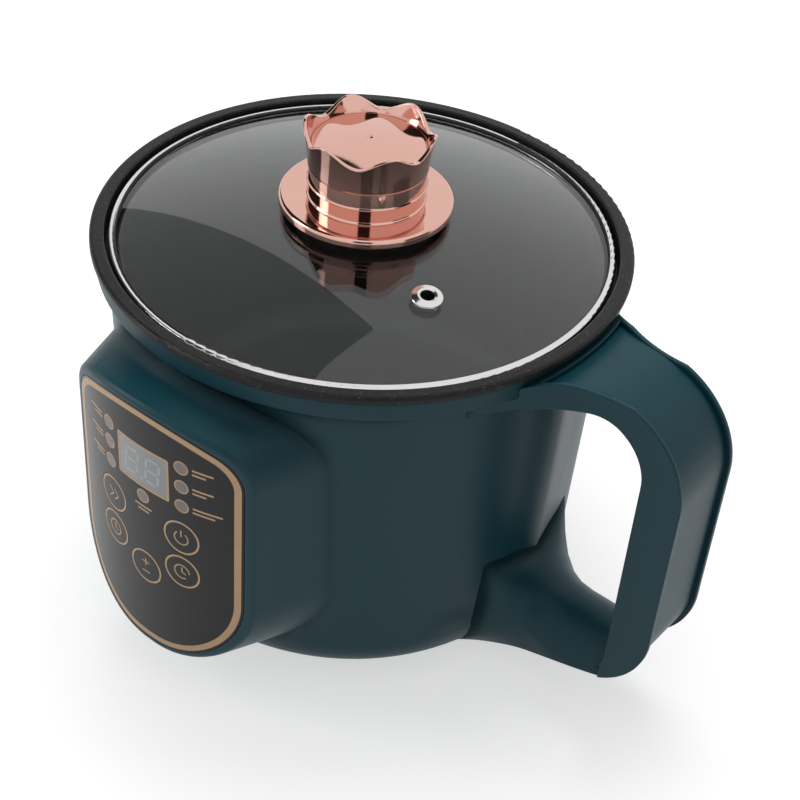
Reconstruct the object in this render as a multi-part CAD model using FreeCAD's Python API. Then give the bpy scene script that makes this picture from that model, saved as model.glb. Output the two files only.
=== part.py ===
"""Electric hot pot with a lift-off glass lid, built piece by piece.

Millimetres, +Z up. The origin lies on the pot's axis, on the surface the pot stands on.
The control panel faces -Y and the handle points along +X.
"""
import FreeCAD, Part
import math
import os
from FreeCAD import Vector

# Overall sizes
RIM_HEIGHT = 152.0            # top face of the pot's rim above the table
RIM_RADIUS = 100.0            # outer edge of the pot's rim
FOOT_HEIGHT = 4.0             # gap between the base and the table

# Housing body
WALL = 2.5                    # plastic wall of the housing
BODY_RADIUS_LOW = 90.4        # outer radius where the bottom rounding starts
BODY_RADIUS_HIGH = 93.8       # outer radius just under the collar
BODY_CORNER = 20.0            # rounding between wall and underside
COLLAR_HEIGHT = 6.5           # raised band under the rim
COLLAR_RADIUS = 98.2
COLLAR_SLOPE = 3.0            # height of the slope that leads out to the collar
RIDGE_REACH = 1.8             # how far the parting ridge inside the handle stands off the wall
BASE_LEDGE = 4.0              # width of the ledge that the base cover screws up against

# Inner pot
POT_WALL = 1.6
POT_FLANGE = 3.0              # thickness of the rim flange
POT_MOUTH = 88.6              # inner radius just under the lid seat
POT_FLOOR_RADIUS = 85.0       # inner radius above the floor rounding
POT_FLOOR_CORNER = 15.0
POT_FLOOR = 47.0              # inner floor above the table
POT_SEAT_DEPTH = 8.0          # lid seat below the rim's top face
POT_SEAT_RADIUS = 94.7        # inner radius of the step above the seat
GASKET = 1.0                  # silicone ring between flange and housing
POT_CLEARANCE = 0.3

# Lid
LID_RADIUS = 93.3             # outer radius of the steel band
LID_CLEARANCE = 0.3           # gap between band and seat
LID_BAND = 0.5                # sheet thickness of the steel band
LID_BAND_LIP = 2.2            # how far the band folds in over the glass
LID_GASKET = 0.4
GLASS = 3.8                   # glass thickness
GLASS_RISE = 12.8             # height of the dome over its edge
VENT_DISTANCE = 55.0          # steam eyelet from the lid's centre
VENT_ANGLE = -27.0
VENT_BORE = 2.65
VENT_TUBE = 0.5
VENT_FLANGE = 5.7
VENT_THICK = 1.0

# Knob
KNOB_PLATE_RADIUS = 32.0
KNOB_PLATE = 4.0
KNOB_SEAL = 0.6               # silicone under the plate, at its thinnest
KNOB_SEAL_RADIUS = 27.0
KNOB_NECK = 21.3
KNOB_NECK_HEIGHT = 12.7
KNOB_CROWN_FOOT = 21.9        # crown's outer radius at its foot
KNOB_CROWN_LIP = 23.9         # crown's outer radius at its lip
KNOB_CROWN_HEIGHT = 14.5      # from the crown's foot to the lobes' tops
KNOB_LOBES = 6
KNOB_LOBE_DEPTH = 4.7
KNOB_LOBE_ANGLE = 28.0        # direction of one lobe's top
KNOB_CROWN_WALL = 1.3
KNOB_DISH = 6.3               # from the lobes' tops down to the cap's edge
KNOB_CAP_RISE = 2.4
KNOB_CAP = 1.4
SCREW_M5 = 2.5

# Control pod and panel
PANEL_RADIUS = 90.4           # the panel is a piece of an upright cylinder
PANEL_FRONT = 114.4           # the panel's foremost line from the pot's axis
PANEL_TOP = 20.1              # top of the gold line below the rim
PANEL_HALF_WIDTH = 38.8       # gold line's outer half width, seen from the front
PANEL_TOP_ARC = 80.6
PANEL_TOP_CORNER = 14.0
PANEL_BOTTOM = 129.0          # bottom of the gold line below the rim
PANEL_BOTTOM_ARC = 36.0
PANEL_EDGE = 0.8              # film outside the gold line
PANEL_FILM = 1.0
PANEL_GAP = 0.25
POD_MARGIN = 4.0              # pod face outside the gold line
POD_FLARE = 0.357             # sideways growth of the pod per millimetre towards the pot
POD_WALL = 2.4
POD_ROUNDING = 2.4

# Keys, display and lamps
KEY_RADIUS = 7.6
KEY_GAP = 0.15
KEY_STEM = 5.6
KEY_TIP = 1.75
KEY_TIP_LENGTH = 1.8          # from the switch's face to the key's stem
KEY_TRAVEL = 0.5
KEY_PLACES = ((-16.9, 68.35), (-16.9, 85.0), (16.9, 68.35), (16.9, 85.0), (0.0, 92.5))
LAMP_RADIUS = 2.4
LAMP_PLACES = ((-17.5, 35.6), (-17.5, 44.1), (-17.5, 53.0),
               (17.5, 35.6), (17.5, 44.1), (17.5, 53.0), (0.0, 58.1))
WINDOW_WIDTH = 22.4
WINDOW_HEIGHT = 16.6
WINDOW_CENTRE = 44.45         # below the rim
FIT = 0.1                     # gap round a lens or window in its hole

# Control board
BOARD_FACE = 100.5            # its front face from the pot's axis
BOARD = 1.6
BOARD_WIDTH = 60.0
BOARD_TOP = 30.0              # below the rim
BOARD_BOTTOM = 106.0
SWITCH_SIZE = 6.2
SWITCH_HEIGHT = 3.4

# Handle
HANDLE_WIDTH = 34.0
HANDLE_REACH = 154.3          # outer face of the grip from the axis
HANDLE_TOP = 1.3              # below the rim
HANDLE_CORNER = 35.0
HANDLE_TOP_ARC = 64.0
HANDLE_LOW_CENTRE = 98.5      # centre of the lower outer corner below the rim
HANDLE_LOW_SLOPE = 16.7       # degrees that the underside falls towards the pot
HANDLE_FLARE = 50.0           # plan rounding that spreads the handle's top onto the pot
HANDLE_LOW_FLARE = 30.0       # the same at the handle's foot
HANDLE_SINK = 1.5             # how far the foot's flare runs into the body
HANDLE_LEAVE = 9.6            # from the rounding's centre out to where the underside leaves the body
HOLE_TOP = 11.7
HOLE_RIGHT = 138.2
HOLE_BOTTOM = 128.0
HOLE_TOP_CORNER = 20.0
HOLE_LOW_CORNER = 12.0
HOLE_TOP_SLOPE = 10.0
# Lower arm: distance from the axis, half width, top of its back and edge of its back below the rim
LOWER_ARM = ((140.0, 17.0, 115.2, 132.2), (114.5, 17.0, 115.2, 132.2), (108.0, 17.7, 114.6, 130.6),
             (102.0, 19.7, 112.6, 127.0), (97.0, 22.6, 108.6, 122.0), (93.0, 26.1, 102.0, 115.0),
             (88.0, 32.0, 90.0, 103.0), (70.0, 40.0, 60.0, 80.0))
GRIP_LIP = 1.6                # width of the raised lips beside the cover
GRIP_LIP_DEPTH = 1.8
GRIP_COVER = 2.0
GRIP_WALL = 2.5
GRIP_LEDGE = 1.4
GRIP_COVER_GAP = 0.15

# Heater
HEATER_RADIUS = 62.0
HEATER = 7.0
ELEMENT_RADIUS = 46.0
ELEMENT_TUBE = 3.3
SENSOR_RADIUS = 9.0
SENSOR_HOLE = 12.0
STUD_RING = 55.0
STUD_RADIUS = 2.0
SHIELD_TOP = 31.8
SHIELD = 0.8
SHIELD_RADIUS = 82.0
SHIELD_LUGS = (-25.0, 50.0, 130.0, 205.0)   # directions of the lugs under the heat shield

# Base
COVER_RADIUS = 65.7
COVER = 2.5
COVER_GAP = 0.3
FOOT_RADIUS = 6.0
FOOT_RING = 70.0
FOOT_PLUG = 2.5
FOOT_COUNT = 4
SCREW_RADIUS = 1.5
SCREW_HEAD = 2.9
SCREW_RING = 64.0

# Power board and inlet
POWER_BOARD_LENGTH = 84.0
POWER_BOARD_WIDTH = 62.0
POWER_BOARD_STANDOFF = 5.0
INLET_HEIGHT = 20.0           # inlet centre above the table
INLET_FACE = 93.0             # inlet's mouth from the pot's axis
INLET_WIDTH = 28.0
INLET_TALL = 20.0
INLET_DEPTH = 22.0
INLET_WALL = 1.8
INLET_RECESS = 15.0
INLET_FLANGE = 2.0
INLET_EARS = 42.0

Z_AXIS = Vector(0, 0, 1)
pieces = {}


def level(below_rim):
    """Height above the table of a level given below the rim's top face."""
    return RIM_HEIGHT - below_rim


def line(a, b):
    return Part.LineSegment(a, b).toShape()


def arc(a, middle, b):
    return Part.Arc(a, middle, b).toShape()


def turned(points, angle=360.0):
    """Solid of revolution about Z from (radius, height) points; a triple carries an arc's middle point."""
    edges = []
    start = Vector(points[0][0], 0, points[0][1])
    here = start
    for point in list(points[1:]) + [points[0]]:
        there = Vector(point[0], 0, point[1])
        if len(point) == 3:
            middle = Vector(point[2][0], 0, point[2][1])
            edges.append(arc(here, middle, there))
        elif (there - here).Length > 1e-6:
            edges.append(line(here, there))
        here = there
    return Part.Face(Part.Wire(edges)).revolve(Vector(0, 0, 0), Z_AXIS, angle)


def disc(radius, low, high, x=0.0, y=0.0):
    return Part.makeCylinder(radius, high - low, Vector(x, y, low))


def box(x0, x1, y0, y1, z0, z1):
    return Part.makeBox(x1 - x0, y1 - y0, z1 - z0, Vector(x0, y0, z0))


def ring(outer, inner, low, high, x=0.0, y=0.0):
    return disc(outer, low, high, x, y).cut(disc(inner, low - 1, high + 1, x, y))


def fused(shapes):
    whole = shapes[0]
    for shape in shapes[1:]:
        whole = whole.fuse(shape)
    return whole.removeSplitter()


def around(count, radius, first=0.0):
    """Evenly spaced points on a circle about the axis."""
    for index in range(count):
        angle = math.radians(first + 360.0 * index / count)
        yield radius * math.cos(angle), radius * math.sin(angle)


def corner_middle(centre, radius, start, end):
    """Middle point of an arc given by its centre and its start and end angles in degrees."""
    angle = math.radians((start + end) / 2)
    return (centre[0] + radius * math.cos(angle), centre[1] + radius * math.sin(angle))


def keep(name, shape):
    pieces[name] = shape


def wall_radius(z):
    """Outer radius of the housing wall at a height."""
    low = FOOT_HEIGHT + BODY_CORNER
    high = level(COLLAR_HEIGHT + GASKET + POT_FLANGE)
    return BODY_RADIUS_LOW + (BODY_RADIUS_HIGH - BODY_RADIUS_LOW) * (z - low) / (high - low)


# Housing

HOUSING_TOP = level(POT_FLANGE + GASKET)
COLLAR_LOW = HOUSING_TOP - COLLAR_HEIGHT
SEAT = level(POT_SEAT_DEPTH)
STEP_OUTER = POT_SEAT_RADIUS + POT_WALL - 0.2
COLLAR_INNER = STEP_OUTER + POT_CLEARANCE


def body_outer():
    """Closed outside shape of the housing's round body with its collar."""
    flat = BODY_RADIUS_LOW - BODY_CORNER
    centre = (flat, FOOT_HEIGHT + BODY_CORNER)
    return turned([
        (0, FOOT_HEIGHT),
        (flat, FOOT_HEIGHT),
        (BODY_RADIUS_LOW, centre[1], corner_middle(centre, BODY_CORNER, -90, 0)),
        (BODY_RADIUS_HIGH, COLLAR_LOW - COLLAR_SLOPE),
        (COLLAR_RADIUS - 1.0, COLLAR_LOW - 1.0),
        (COLLAR_RADIUS, COLLAR_LOW),
        (COLLAR_RADIUS, HOUSING_TOP),
        (0, HOUSING_TOP)])


def body_inner():
    """Hollow of the round body, open at the top and at the base."""
    low_z = FOOT_HEIGHT + COVER
    ledge = COVER_RADIUS - BASE_LEDGE
    corner = BODY_CORNER - WALL
    flat = BODY_RADIUS_LOW - BODY_CORNER
    centre = (flat, FOOT_HEIGHT + BODY_CORNER)
    return turned([
        (0, FOOT_HEIGHT - 1),
        (COVER_RADIUS + COVER_GAP, FOOT_HEIGHT - 1),
        (COVER_RADIUS + COVER_GAP, low_z),
        (ledge, low_z),
        (ledge, low_z + WALL),
        (flat, low_z + WALL),
        (flat + corner - 0.2, centre[1], corner_middle(centre, corner - 1.2, -90, 0)),
        (BODY_RADIUS_HIGH - WALL, COLLAR_LOW - COLLAR_SLOPE),
        (COLLAR_INNER, SEAT - POT_WALL - POT_CLEARANCE),
        (COLLAR_INNER, HOUSING_TOP + 1),
        (0, HOUSING_TOP + 1)])


def shield_outline(offset, y, extra_width=0.0, top=None, bottom=None, top_arc=None, corner=None, low_arc=None):
    """The panel's shield outline as a wire in an upright plane, grown by an offset."""
    half = PANEL_HALF_WIDTH + offset + extra_width
    top_z = level(PANEL_TOP) + offset if top is None else top
    low_z = level(PANEL_BOTTOM) - offset if bottom is None else bottom
    big = (PANEL_TOP_ARC if top_arc is None else top_arc) + offset
    small = (PANEL_TOP_CORNER if corner is None else corner) + offset
    low = (PANEL_BOTTOM_ARC if low_arc is None else low_arc) + offset
    big_z = top_z - big
    small_x = half - small
    small_z = big_z + math.sqrt((big - small) ** 2 - small_x ** 2)
    lean = math.atan2(small_x, small_z - big_z)
    meet = (big * math.sin(lean), big_z + big * math.cos(lean))
    half_lean = (lean + math.pi / 2) / 2
    side = (small_x + small * math.sin(half_lean), small_z + small * math.cos(half_lean))
    low_x = half - low
    low_mid = (low_x + low * math.sin(math.pi / 4), low_z + low - low * math.cos(math.pi / 4))

    def at(x, z):
        return Vector(x, y, z)
    edges = [
        arc(at(-meet[0], meet[1]), at(0, top_z), at(meet[0], meet[1])),
        arc(at(meet[0], meet[1]), at(side[0], side[1]), at(half, small_z)),
        line(at(half, small_z), at(half, low_z + low)),
        arc(at(half, low_z + low), at(low_mid[0], low_mid[1]), at(low_x, low_z)),
        line(at(low_x, low_z), at(-low_x, low_z)),
        arc(at(-low_x, low_z), at(-low_mid[0], low_mid[1]), at(-half, low_z + low)),
        line(at(-half, low_z + low), at(-half, small_z)),
        arc(at(-half, small_z), at(-side[0], side[1]), at(-meet[0], meet[1]))]
    return Part.Wire(edges)


PANEL_AXIS = PANEL_FRONT - PANEL_RADIUS
POD_PLANE = PANEL_FRONT + 4.0
POD_ROOT = 60.0
POD_EDGE_REACH = PANEL_AXIS + math.sqrt(PANEL_RADIUS ** 2 - (PANEL_HALF_WIDTH + POD_MARGIN) ** 2)


def panel_slab(outer, inner, low=0.0, high=RIM_HEIGHT):
    """Upright curved slab between two radii of the panel's cylinder, front side only."""
    whole = disc(outer, low, high, 0, -PANEL_AXIS)
    if inner > 0:
        whole = whole.cut(disc(inner, low - 1, high + 1, 0, -PANEL_AXIS))
    return whole.common(box(-outer, outer, -PANEL_AXIS - outer - 1, -PANEL_AXIS - 20, low, high))


def pod_shape(inset):
    """The pod that carries the panel, flaring towards the pot; an inset gives its hollow."""
    def width(y):
        return POD_FLARE * (POD_EDGE_REACH - y)
    front = shield_outline(POD_MARGIN - inset, -POD_PLANE, width(POD_PLANE),
                           level(PANEL_TOP) + 3.2 - inset, level(PANEL_BOTTOM) - 2.6 + inset,
                           None, 12.0, 32.0)
    back = shield_outline(POD_MARGIN - inset, -POD_ROOT, width(POD_ROOT),
                          level(PANEL_TOP) + 10.6 - inset, level(PANEL_BOTTOM) - 15.0 + inset,
                          110.0, 22.0, 44.0)
    whole = Part.makeLoft([front, back], True, True)
    reach = PANEL_RADIUS - (POD_WALL + PANEL_FILM if inset else 0.0)
    pod = whole.common(disc(reach, 0, RIM_HEIGHT, 0, -PANEL_AXIS))
    if inset:
        return pod
    return pod.makeFillet(POD_ROUNDING, pod_front_edges(pod))


def pod_front_edges(pod):
    """Edges where the pod's curved front meets its sides."""
    edges = []
    for edge in pod.Edges:
        first, last = edge.ParameterRange
        spots = [edge.valueAt(first + (last - first) * share) for share in (0.0, 0.3, 0.5, 0.8, 1.0)]
        if all(abs(math.hypot(spot.x, spot.y + PANEL_AXIS) - PANEL_RADIUS) < 0.01 for spot in spots):
            edges.append(edge)
    return edges


def handle_outline(offset, left):
    """Side outline of the handle's outer edge, moved inwards by an offset, as points and edges."""
    radius = HANDLE_CORNER - offset
    centre_x = HANDLE_REACH - HANDLE_CORNER
    high = level(HANDLE_TOP) - HANDLE_CORNER
    low = level(HANDLE_LOW_CENTRE)
    top_radius = HANDLE_TOP_ARC - offset
    top_z = level(HANDLE_TOP) - HANDLE_TOP_ARC
    slope = math.radians(HANDLE_LOW_SLOPE)
    top_start = (left, top_z + math.sqrt(top_radius ** 2 - (centre_x - left) ** 2))
    half = (centre_x + left) / 2
    top_mid = (half, top_z + math.sqrt(top_radius ** 2 - (centre_x - half) ** 2))
    low_meet = (centre_x + radius * math.sin(slope), low - radius * math.cos(slope))
    end_z = low_meet[1] - (low_meet[0] - left) * math.tan(slope)
    upper_mid = corner_middle((centre_x, high), radius, 0, 90)
    lower_mid = corner_middle((centre_x, low), radius, HANDLE_LOW_SLOPE - 90, 0)

    def at(pair):
        return Vector(pair[0], 0, pair[1])
    return [
        arc(at(top_start), at(top_mid), at((centre_x, high + radius))),
        arc(at((centre_x, high + radius)), at(upper_mid), at((centre_x + radius, high))),
        line(at((centre_x + radius, high)), at((centre_x + radius, low))),
        arc(at((centre_x + radius, low)), at(lower_mid), at(low_meet)),
        line(at(low_meet), at((left, end_z))),
        line(at((left, end_z)), at(top_start))]


def hole_outline(growth, left):
    """Side outline of the finger hole, grown by a wall thickness."""
    right = HOLE_RIGHT + growth
    top = level(HOLE_TOP) + growth
    low = level(HOLE_BOTTOM) - growth
    big = HOLE_TOP_CORNER + growth
    small = HOLE_LOW_CORNER + growth
    slope = math.radians(HOLE_TOP_SLOPE)
    big_centre = (right - big, top - big)
    meet = (big_centre[0] - big * math.sin(slope), big_centre[1] + big * math.cos(slope))
    left_z = meet[1] - (meet[0] - left) * math.tan(slope)
    small_centre = (right - small, low + small)
    big_mid = corner_middle(big_centre, big, 0, 90 + HOLE_TOP_SLOPE)
    small_mid = corner_middle(small_centre, small, -90, 0)

    def at(pair):
        return Vector(pair[0], 0, pair[1])
    return [
        line(at((left, left_z)), at(meet)),
        arc(at(meet), at(big_mid), at((right, big_centre[1]))),
        line(at((right, big_centre[1])), at((right, small_centre[1]))),
        arc(at((right, small_centre[1])), at(small_mid), at((small_centre[0], low))),
        line(at((small_centre[0], low)), at((left, low))),
        line(at((left, low)), at((left, left_z)))]


def prism(edges, half_width):
    """Extrudes a side outline to both sides of the handle's middle plane."""
    face = Part.Face(Part.Wire(edges))
    face.translate(Vector(0, -half_width, 0))
    return face.extrude(Vector(0, 2 * half_width, 0))


def plan_wire(inset, flare, body, z):
    """The handle's plan at a height: parallel sides that flare onto a round body."""
    half = HANDLE_WIDTH / 2 - inset
    round_radius = flare + inset
    centre_y = half + round_radius
    centre_x = math.sqrt((body + round_radius) ** 2 - centre_y ** 2)
    share = body / (body + round_radius)
    touch = Vector(centre_x * share, centre_y * share, z)
    aim = math.atan2(touch.y - centre_y, touch.x - centre_x)
    middle_angle = (aim - math.pi / 2) / 2
    if aim > 0:
        middle_angle = (aim - 2 * math.pi - math.pi / 2) / 2
    middle = Vector(centre_x + round_radius * math.cos(middle_angle),
                    centre_y + round_radius * math.sin(middle_angle), z)
    outer = HANDLE_REACH + 10

    def mirrored(point):
        return Vector(point.x, -point.y, z)
    straight = Vector(centre_x, half, z)
    back = Vector(40, touch.y, z)
    far = Vector(outer, half, z)
    edges = [
        line(back, touch),
        arc(touch, middle, straight),
        line(straight, far),
        line(far, mirrored(far)),
        line(mirrored(far), mirrored(straight)),
        arc(mirrored(straight), mirrored(middle), mirrored(touch)),
        line(mirrored(touch), mirrored(back)),
        line(mirrored(back), back)]
    return Part.Wire(edges)


def handle_plan(inset):
    """Upright solid with the plan of the handle's upper arm and grip."""
    face = Part.Face(plan_wire(inset, HANDLE_FLARE, BODY_RADIUS_HIGH - inset, 0))
    return face.extrude(Vector(0, 0, RIM_HEIGHT + 20))


def lower_arm():
    """The lower arm: a bar with a half-round back that widens and climbs onto the body."""
    sections = []
    for x, half, top, side in LOWER_ARM:
        z_top = level(top)
        z_side = level(side)
        low = [Vector(x, half, z_side), Vector(x, half, 0), Vector(x, -half, 0), Vector(x, -half, z_side)]
        back = arc(Vector(x, -half, z_side), Vector(x, 0, z_top), Vector(x, half, z_side))
        sections.append(Part.Wire([line(low[0], low[1]), line(low[1], low[2]), line(low[2], low[3]), back]))
    arm = Part.makeLoft(sections, True, True)
    if arm.Volume < 0:
        arm.reverse()
    return arm


def handle_foot_plan():
    """Solid with the lower arm's plan, which narrows downwards with the body's rounding."""
    centre = FOOT_HEIGHT + BODY_CORNER
    sections = []
    for drop in (19.4, 18.0, 16.0, 13.0, 9.0, 5.0, 0.0):
        reach = BODY_RADIUS_LOW - BODY_CORNER - HANDLE_SINK + math.sqrt(BODY_CORNER ** 2 - drop ** 2)
        sections.append(plan_wire(0.0, HANDLE_LOW_FLARE, reach, centre - drop))
    foot = Part.makeLoft(sections, True, True)
    upper = Part.Face(plan_wire(0.0, HANDLE_LOW_FLARE, BODY_RADIUS_LOW - HANDLE_SINK, centre))
    return foot.fuse(upper.extrude(Vector(0, 0, RIM_HEIGHT - centre)))


def handle_underside():
    """Space under the handle's foot: a shallow cone that rises away from the body's rounding."""
    slope = math.tan(math.radians(HANDLE_LOW_SLOPE))
    centre = FOOT_HEIGHT + BODY_CORNER
    leave = BODY_RADIUS_LOW - BODY_CORNER + HANDLE_LEAVE
    height = centre - math.sqrt(BODY_CORNER ** 2 - HANDLE_LEAVE ** 2)
    reach = HANDLE_REACH + 20
    start = leave - 4
    return turned([
        (start - 20, FOOT_HEIGHT - 10), (reach, FOOT_HEIGHT - 10),
        (reach, height + (reach - leave) * slope), (start, height - 4 * slope),
        (start - 20, FOOT_HEIGHT + 12)])


def ridge():
    """Shallow two-sided ridge on the wall inside the finger hole, tangent to the wall."""
    sections = []
    for z in (level(HOLE_BOTTOM) - 1, level(HOLE_TOP) + 2):
        base = wall_radius(z)
        reach = base + RIDGE_REACH
        spread = math.acos(base / reach)
        side = Vector(base * math.cos(spread), base * math.sin(spread), z)
        tip = Vector(reach, 0, z)
        other = Vector(side.x, -side.y, z)
        back = Vector(side.x - 5, side.y - 1, z)
        back_other = Vector(back.x, -back.y, z)
        sections.append(Part.makePolygon([back, side, tip, other, back_other, back]))
    return Part.makeLoft(sections, True, True)


def panel_direction(along):
    """Outward unit direction of the panel at an arc length from its middle line."""
    angle = along / PANEL_RADIUS
    return Vector(math.sin(angle), -math.cos(angle), 0)


def panel_point(along, below_rim, radius=PANEL_RADIUS):
    spot = panel_direction(along) * radius
    return Vector(spot.x, spot.y - PANEL_AXIS, level(below_rim))


def panel_peg(along, below_rim, radius, outer, inner):
    """Round bar square to the panel between two radii of the panel's cylinder."""
    direction = panel_direction(along)
    return Part.makeCylinder(radius, outer - inner, panel_point(along, below_rim, inner), direction)


def window_block(growth, outer, inner):
    """Block behind or through the display window between two radii, square to the panel's middle."""
    half = WINDOW_WIDTH / 2 + growth
    tall = WINDOW_HEIGHT / 2 + growth
    middle = level(WINDOW_CENTRE)
    block = box(-half, half, -PANEL_FRONT - 5, -PANEL_AXIS, middle - tall, middle + tall)
    return block.common(panel_slab(outer, inner))


FILM_BACK = PANEL_RADIUS - PANEL_FILM
POD_FRONT_INNER = PANEL_RADIUS - PANEL_FILM - POD_WALL
KEY_POCKET = FILM_BACK - KEY_TRAVEL - 0.4


def inlet_pad():
    """Flat pad at the back that carries the power inlet."""
    half = INLET_EARS / 2 + 3
    return box(-half, half, 70, INLET_FACE, INLET_HEIGHT - 14, INLET_HEIGHT + 15)


def inlet_cut():
    half = INLET_WIDTH / 2 + COVER_GAP
    tall = INLET_TALL / 2 + COVER_GAP
    return box(-half, half, 60, INLET_FACE + 1, INLET_HEIGHT - tall, INLET_HEIGHT + tall)


def make_housing():
    """One moulding: the round body and its panel pod."""
    body = body_outer()
    walled = body.fuse(ridge())
    outer = walled.fuse(pod_shape(0.0)).fuse(inlet_pad())
    hollow = body_inner()
    pod_hollow = pod_shape(POD_WALL + 0.6)
    pod_hollow = pod_hollow.cut(disc(200, 0, FOOT_HEIGHT + COVER + WALL, 0, 0))
    pod_hollow = pod_hollow.cut(disc(200, COLLAR_LOW - 4, RIM_HEIGHT, 0, 0))
    shell = outer.cut(hollow).cut(pod_hollow)
    shell = shell.cut(inlet_cut())
    shell = shell.cut(film_pocket())
    for along, below in KEY_PLACES:
        shell = shell.cut(panel_peg(along, below, KEY_RADIUS + 0.5, FILM_BACK + 1, KEY_POCKET))
        shell = shell.cut(panel_peg(along, below, KEY_STEM + 0.4, FILM_BACK, POD_FRONT_INNER - 6))
    for along, below in LAMP_PLACES:
        shell = shell.cut(panel_peg(along, below, LAMP_RADIUS + FIT, FILM_BACK + 1, POD_FRONT_INNER - 4))
    shell = shell.cut(window_block(FIT, FILM_BACK + 1, POD_FRONT_INNER - 4))
    shell = shell.fuse(shield_lugs())
    for x, y in around(3, SCREW_RING - 0.2, 30.0):
        shell = shell.cut(disc(SCREW_RADIUS, FOOT_HEIGHT, FOOT_HEIGHT + COVER + WALL - 0.5, x, y))
    for x, y in around(FOOT_COUNT, FOOT_RING, 45.0):
        shell = shell.cut(disc(FOOT_PLUG, 0, FOOT_HEIGHT + COVER, x, y))
    keep("housing", shell.removeSplitter())


def make_handle():
    """The handle's core, moulded onto the round body: upper arm, grip and lower arm."""
    blank = prism(handle_outline(0.0, 62.0), 80)
    middle = RIM_HEIGHT / 2
    above = blank.common(handle_plan(0.0)).common(box(40, 200, -90, 90, middle, level(POT_FLANGE)))
    grip = blank.common(handle_plan(0.0)).common(box(HOLE_RIGHT - 1, 200, -90, 90, FOOT_HEIGHT, middle))
    below = blank.common(handle_foot_plan()).common(lower_arm()).common(box(40, 200, -90, 90, FOOT_HEIGHT, middle))
    handle = above.fuse(grip).cut(prism(hole_outline(0.0, 60.0), 90))
    handle = handle.fuse(below.cut(handle_underside()))
    handle = handle.cut(disc(RIM_RADIUS + POT_CLEARANCE, HOUSING_TOP - 0.2, RIM_HEIGHT + 5))
    handle = handle.cut(body_outer()).cut(ridge())
    handle = handle.cut(channel()).cut(cover_recess())
    keep("handle_core", handle.removeSplitter())


def channel():
    """Hollow of the handle under its cover, kept clear of the pot's wall."""
    depth = GRIP_LIP_DEPTH + GRIP_COVER
    inside = HANDLE_WIDTH / 2 - GRIP_LIP - GRIP_LEDGE
    whole = prism(handle_outline(depth - 0.01, 62.0), inside)
    whole = whole.cut(prism(hole_outline(GRIP_WALL, 60.0), 90))
    return whole.cut(disc(BODY_RADIUS_HIGH + WALL + 2, 0, RIM_HEIGHT + 10))


def cover_band(near, far, inset):
    """Band under the handle's outer edge between two depths, as wide as its plan allows."""
    outer = prism(handle_outline(near, 62.0), 80)
    inner = prism(handle_outline(far, 62.0), 90)
    band = outer.cut(inner).common(handle_plan(inset))
    band = band.cut(disc(RIM_RADIUS + 1.2, 0, RIM_HEIGHT + 10))
    centre_x = HANDLE_REACH - HANDLE_CORNER
    low_end = box(0, centre_x + 8, -90, 90, -20, level(HOLE_BOTTOM) + 2)
    return band.cut(low_end)


def cover_recess():
    return cover_band(-6.0, GRIP_LIP_DEPTH + GRIP_COVER, GRIP_LIP)


def shield_lugs():
    """Lugs on the inside of the wall that carry the heat shield."""
    lugs = []
    for angle in SHIELD_LUGS:
        lug = box(SHIELD_RADIUS - 8, BODY_RADIUS_LOW - WALL + 0.5, -6, 6, SHIELD_TOP - SHIELD - 8,
                  SHIELD_TOP - SHIELD)
        lug.rotate(Vector(0, 0, 0), Z_AXIS, angle)
        lugs.append(lug)
    return Part.makeCompound(lugs).common(body_outer())


def film_pocket():
    outline = Part.Face(shield_outline(PANEL_EDGE + PANEL_GAP, -POD_PLANE - 2)).extrude(Vector(0, 60, 0))
    return outline.common(panel_slab(PANEL_RADIUS + 3, FILM_BACK))


def make_panel():
    """Film panel with its holes, display window, lamp lenses and five keys."""
    outline = Part.Face(shield_outline(PANEL_EDGE, -POD_PLANE)).extrude(Vector(0, 60, 0))
    film = outline.common(panel_slab(PANEL_RADIUS, FILM_BACK))
    for along, below in KEY_PLACES:
        film = film.cut(panel_peg(along, below, KEY_RADIUS + KEY_GAP, PANEL_RADIUS + 3, FILM_BACK - 3))
    for along, below in LAMP_PLACES:
        film = film.cut(panel_peg(along, below, LAMP_RADIUS + FIT, PANEL_RADIUS + 3, FILM_BACK - 3))
    film = film.cut(window_block(FIT, PANEL_RADIUS + 2, FILM_BACK - 2))
    keep("panel_film", film)
    keep("display_window", window_block(0.0, PANEL_RADIUS, POD_FRONT_INNER))
    lenses = []
    for along, below in LAMP_PLACES:
        lens = panel_peg(along, below, LAMP_RADIUS, PANEL_RADIUS + 2, POD_FRONT_INNER - 1)
        lenses.append(lens.common(panel_slab(PANEL_RADIUS, 0)))
    keep("lamp_lenses", Part.makeCompound(lenses))
    for number, (along, below) in enumerate(KEY_PLACES, 1):
        cap = panel_peg(along, below, KEY_RADIUS, PANEL_RADIUS + 3, FILM_BACK - 3)
        cap = cap.common(panel_slab(PANEL_RADIUS, FILM_BACK))
        switch_top = switch_reach(along)
        stem = panel_peg(along, below, KEY_STEM, FILM_BACK + 0.4, switch_top + KEY_TIP_LENGTH)
        stem = stem.common(panel_slab(FILM_BACK + 0.4, 0))
        tip = panel_peg(along, below, KEY_TIP, switch_top + KEY_TIP_LENGTH, switch_top - 0.9)
        keep("key_%d" % number, fused([cap, stem, tip]))


def switch_reach(along):
    """Panel radius at which a key's line meets the front of its switch."""
    direction = panel_direction(along)
    return (BOARD_FACE + SWITCH_HEIGHT - PANEL_AXIS) / -direction.y


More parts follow.
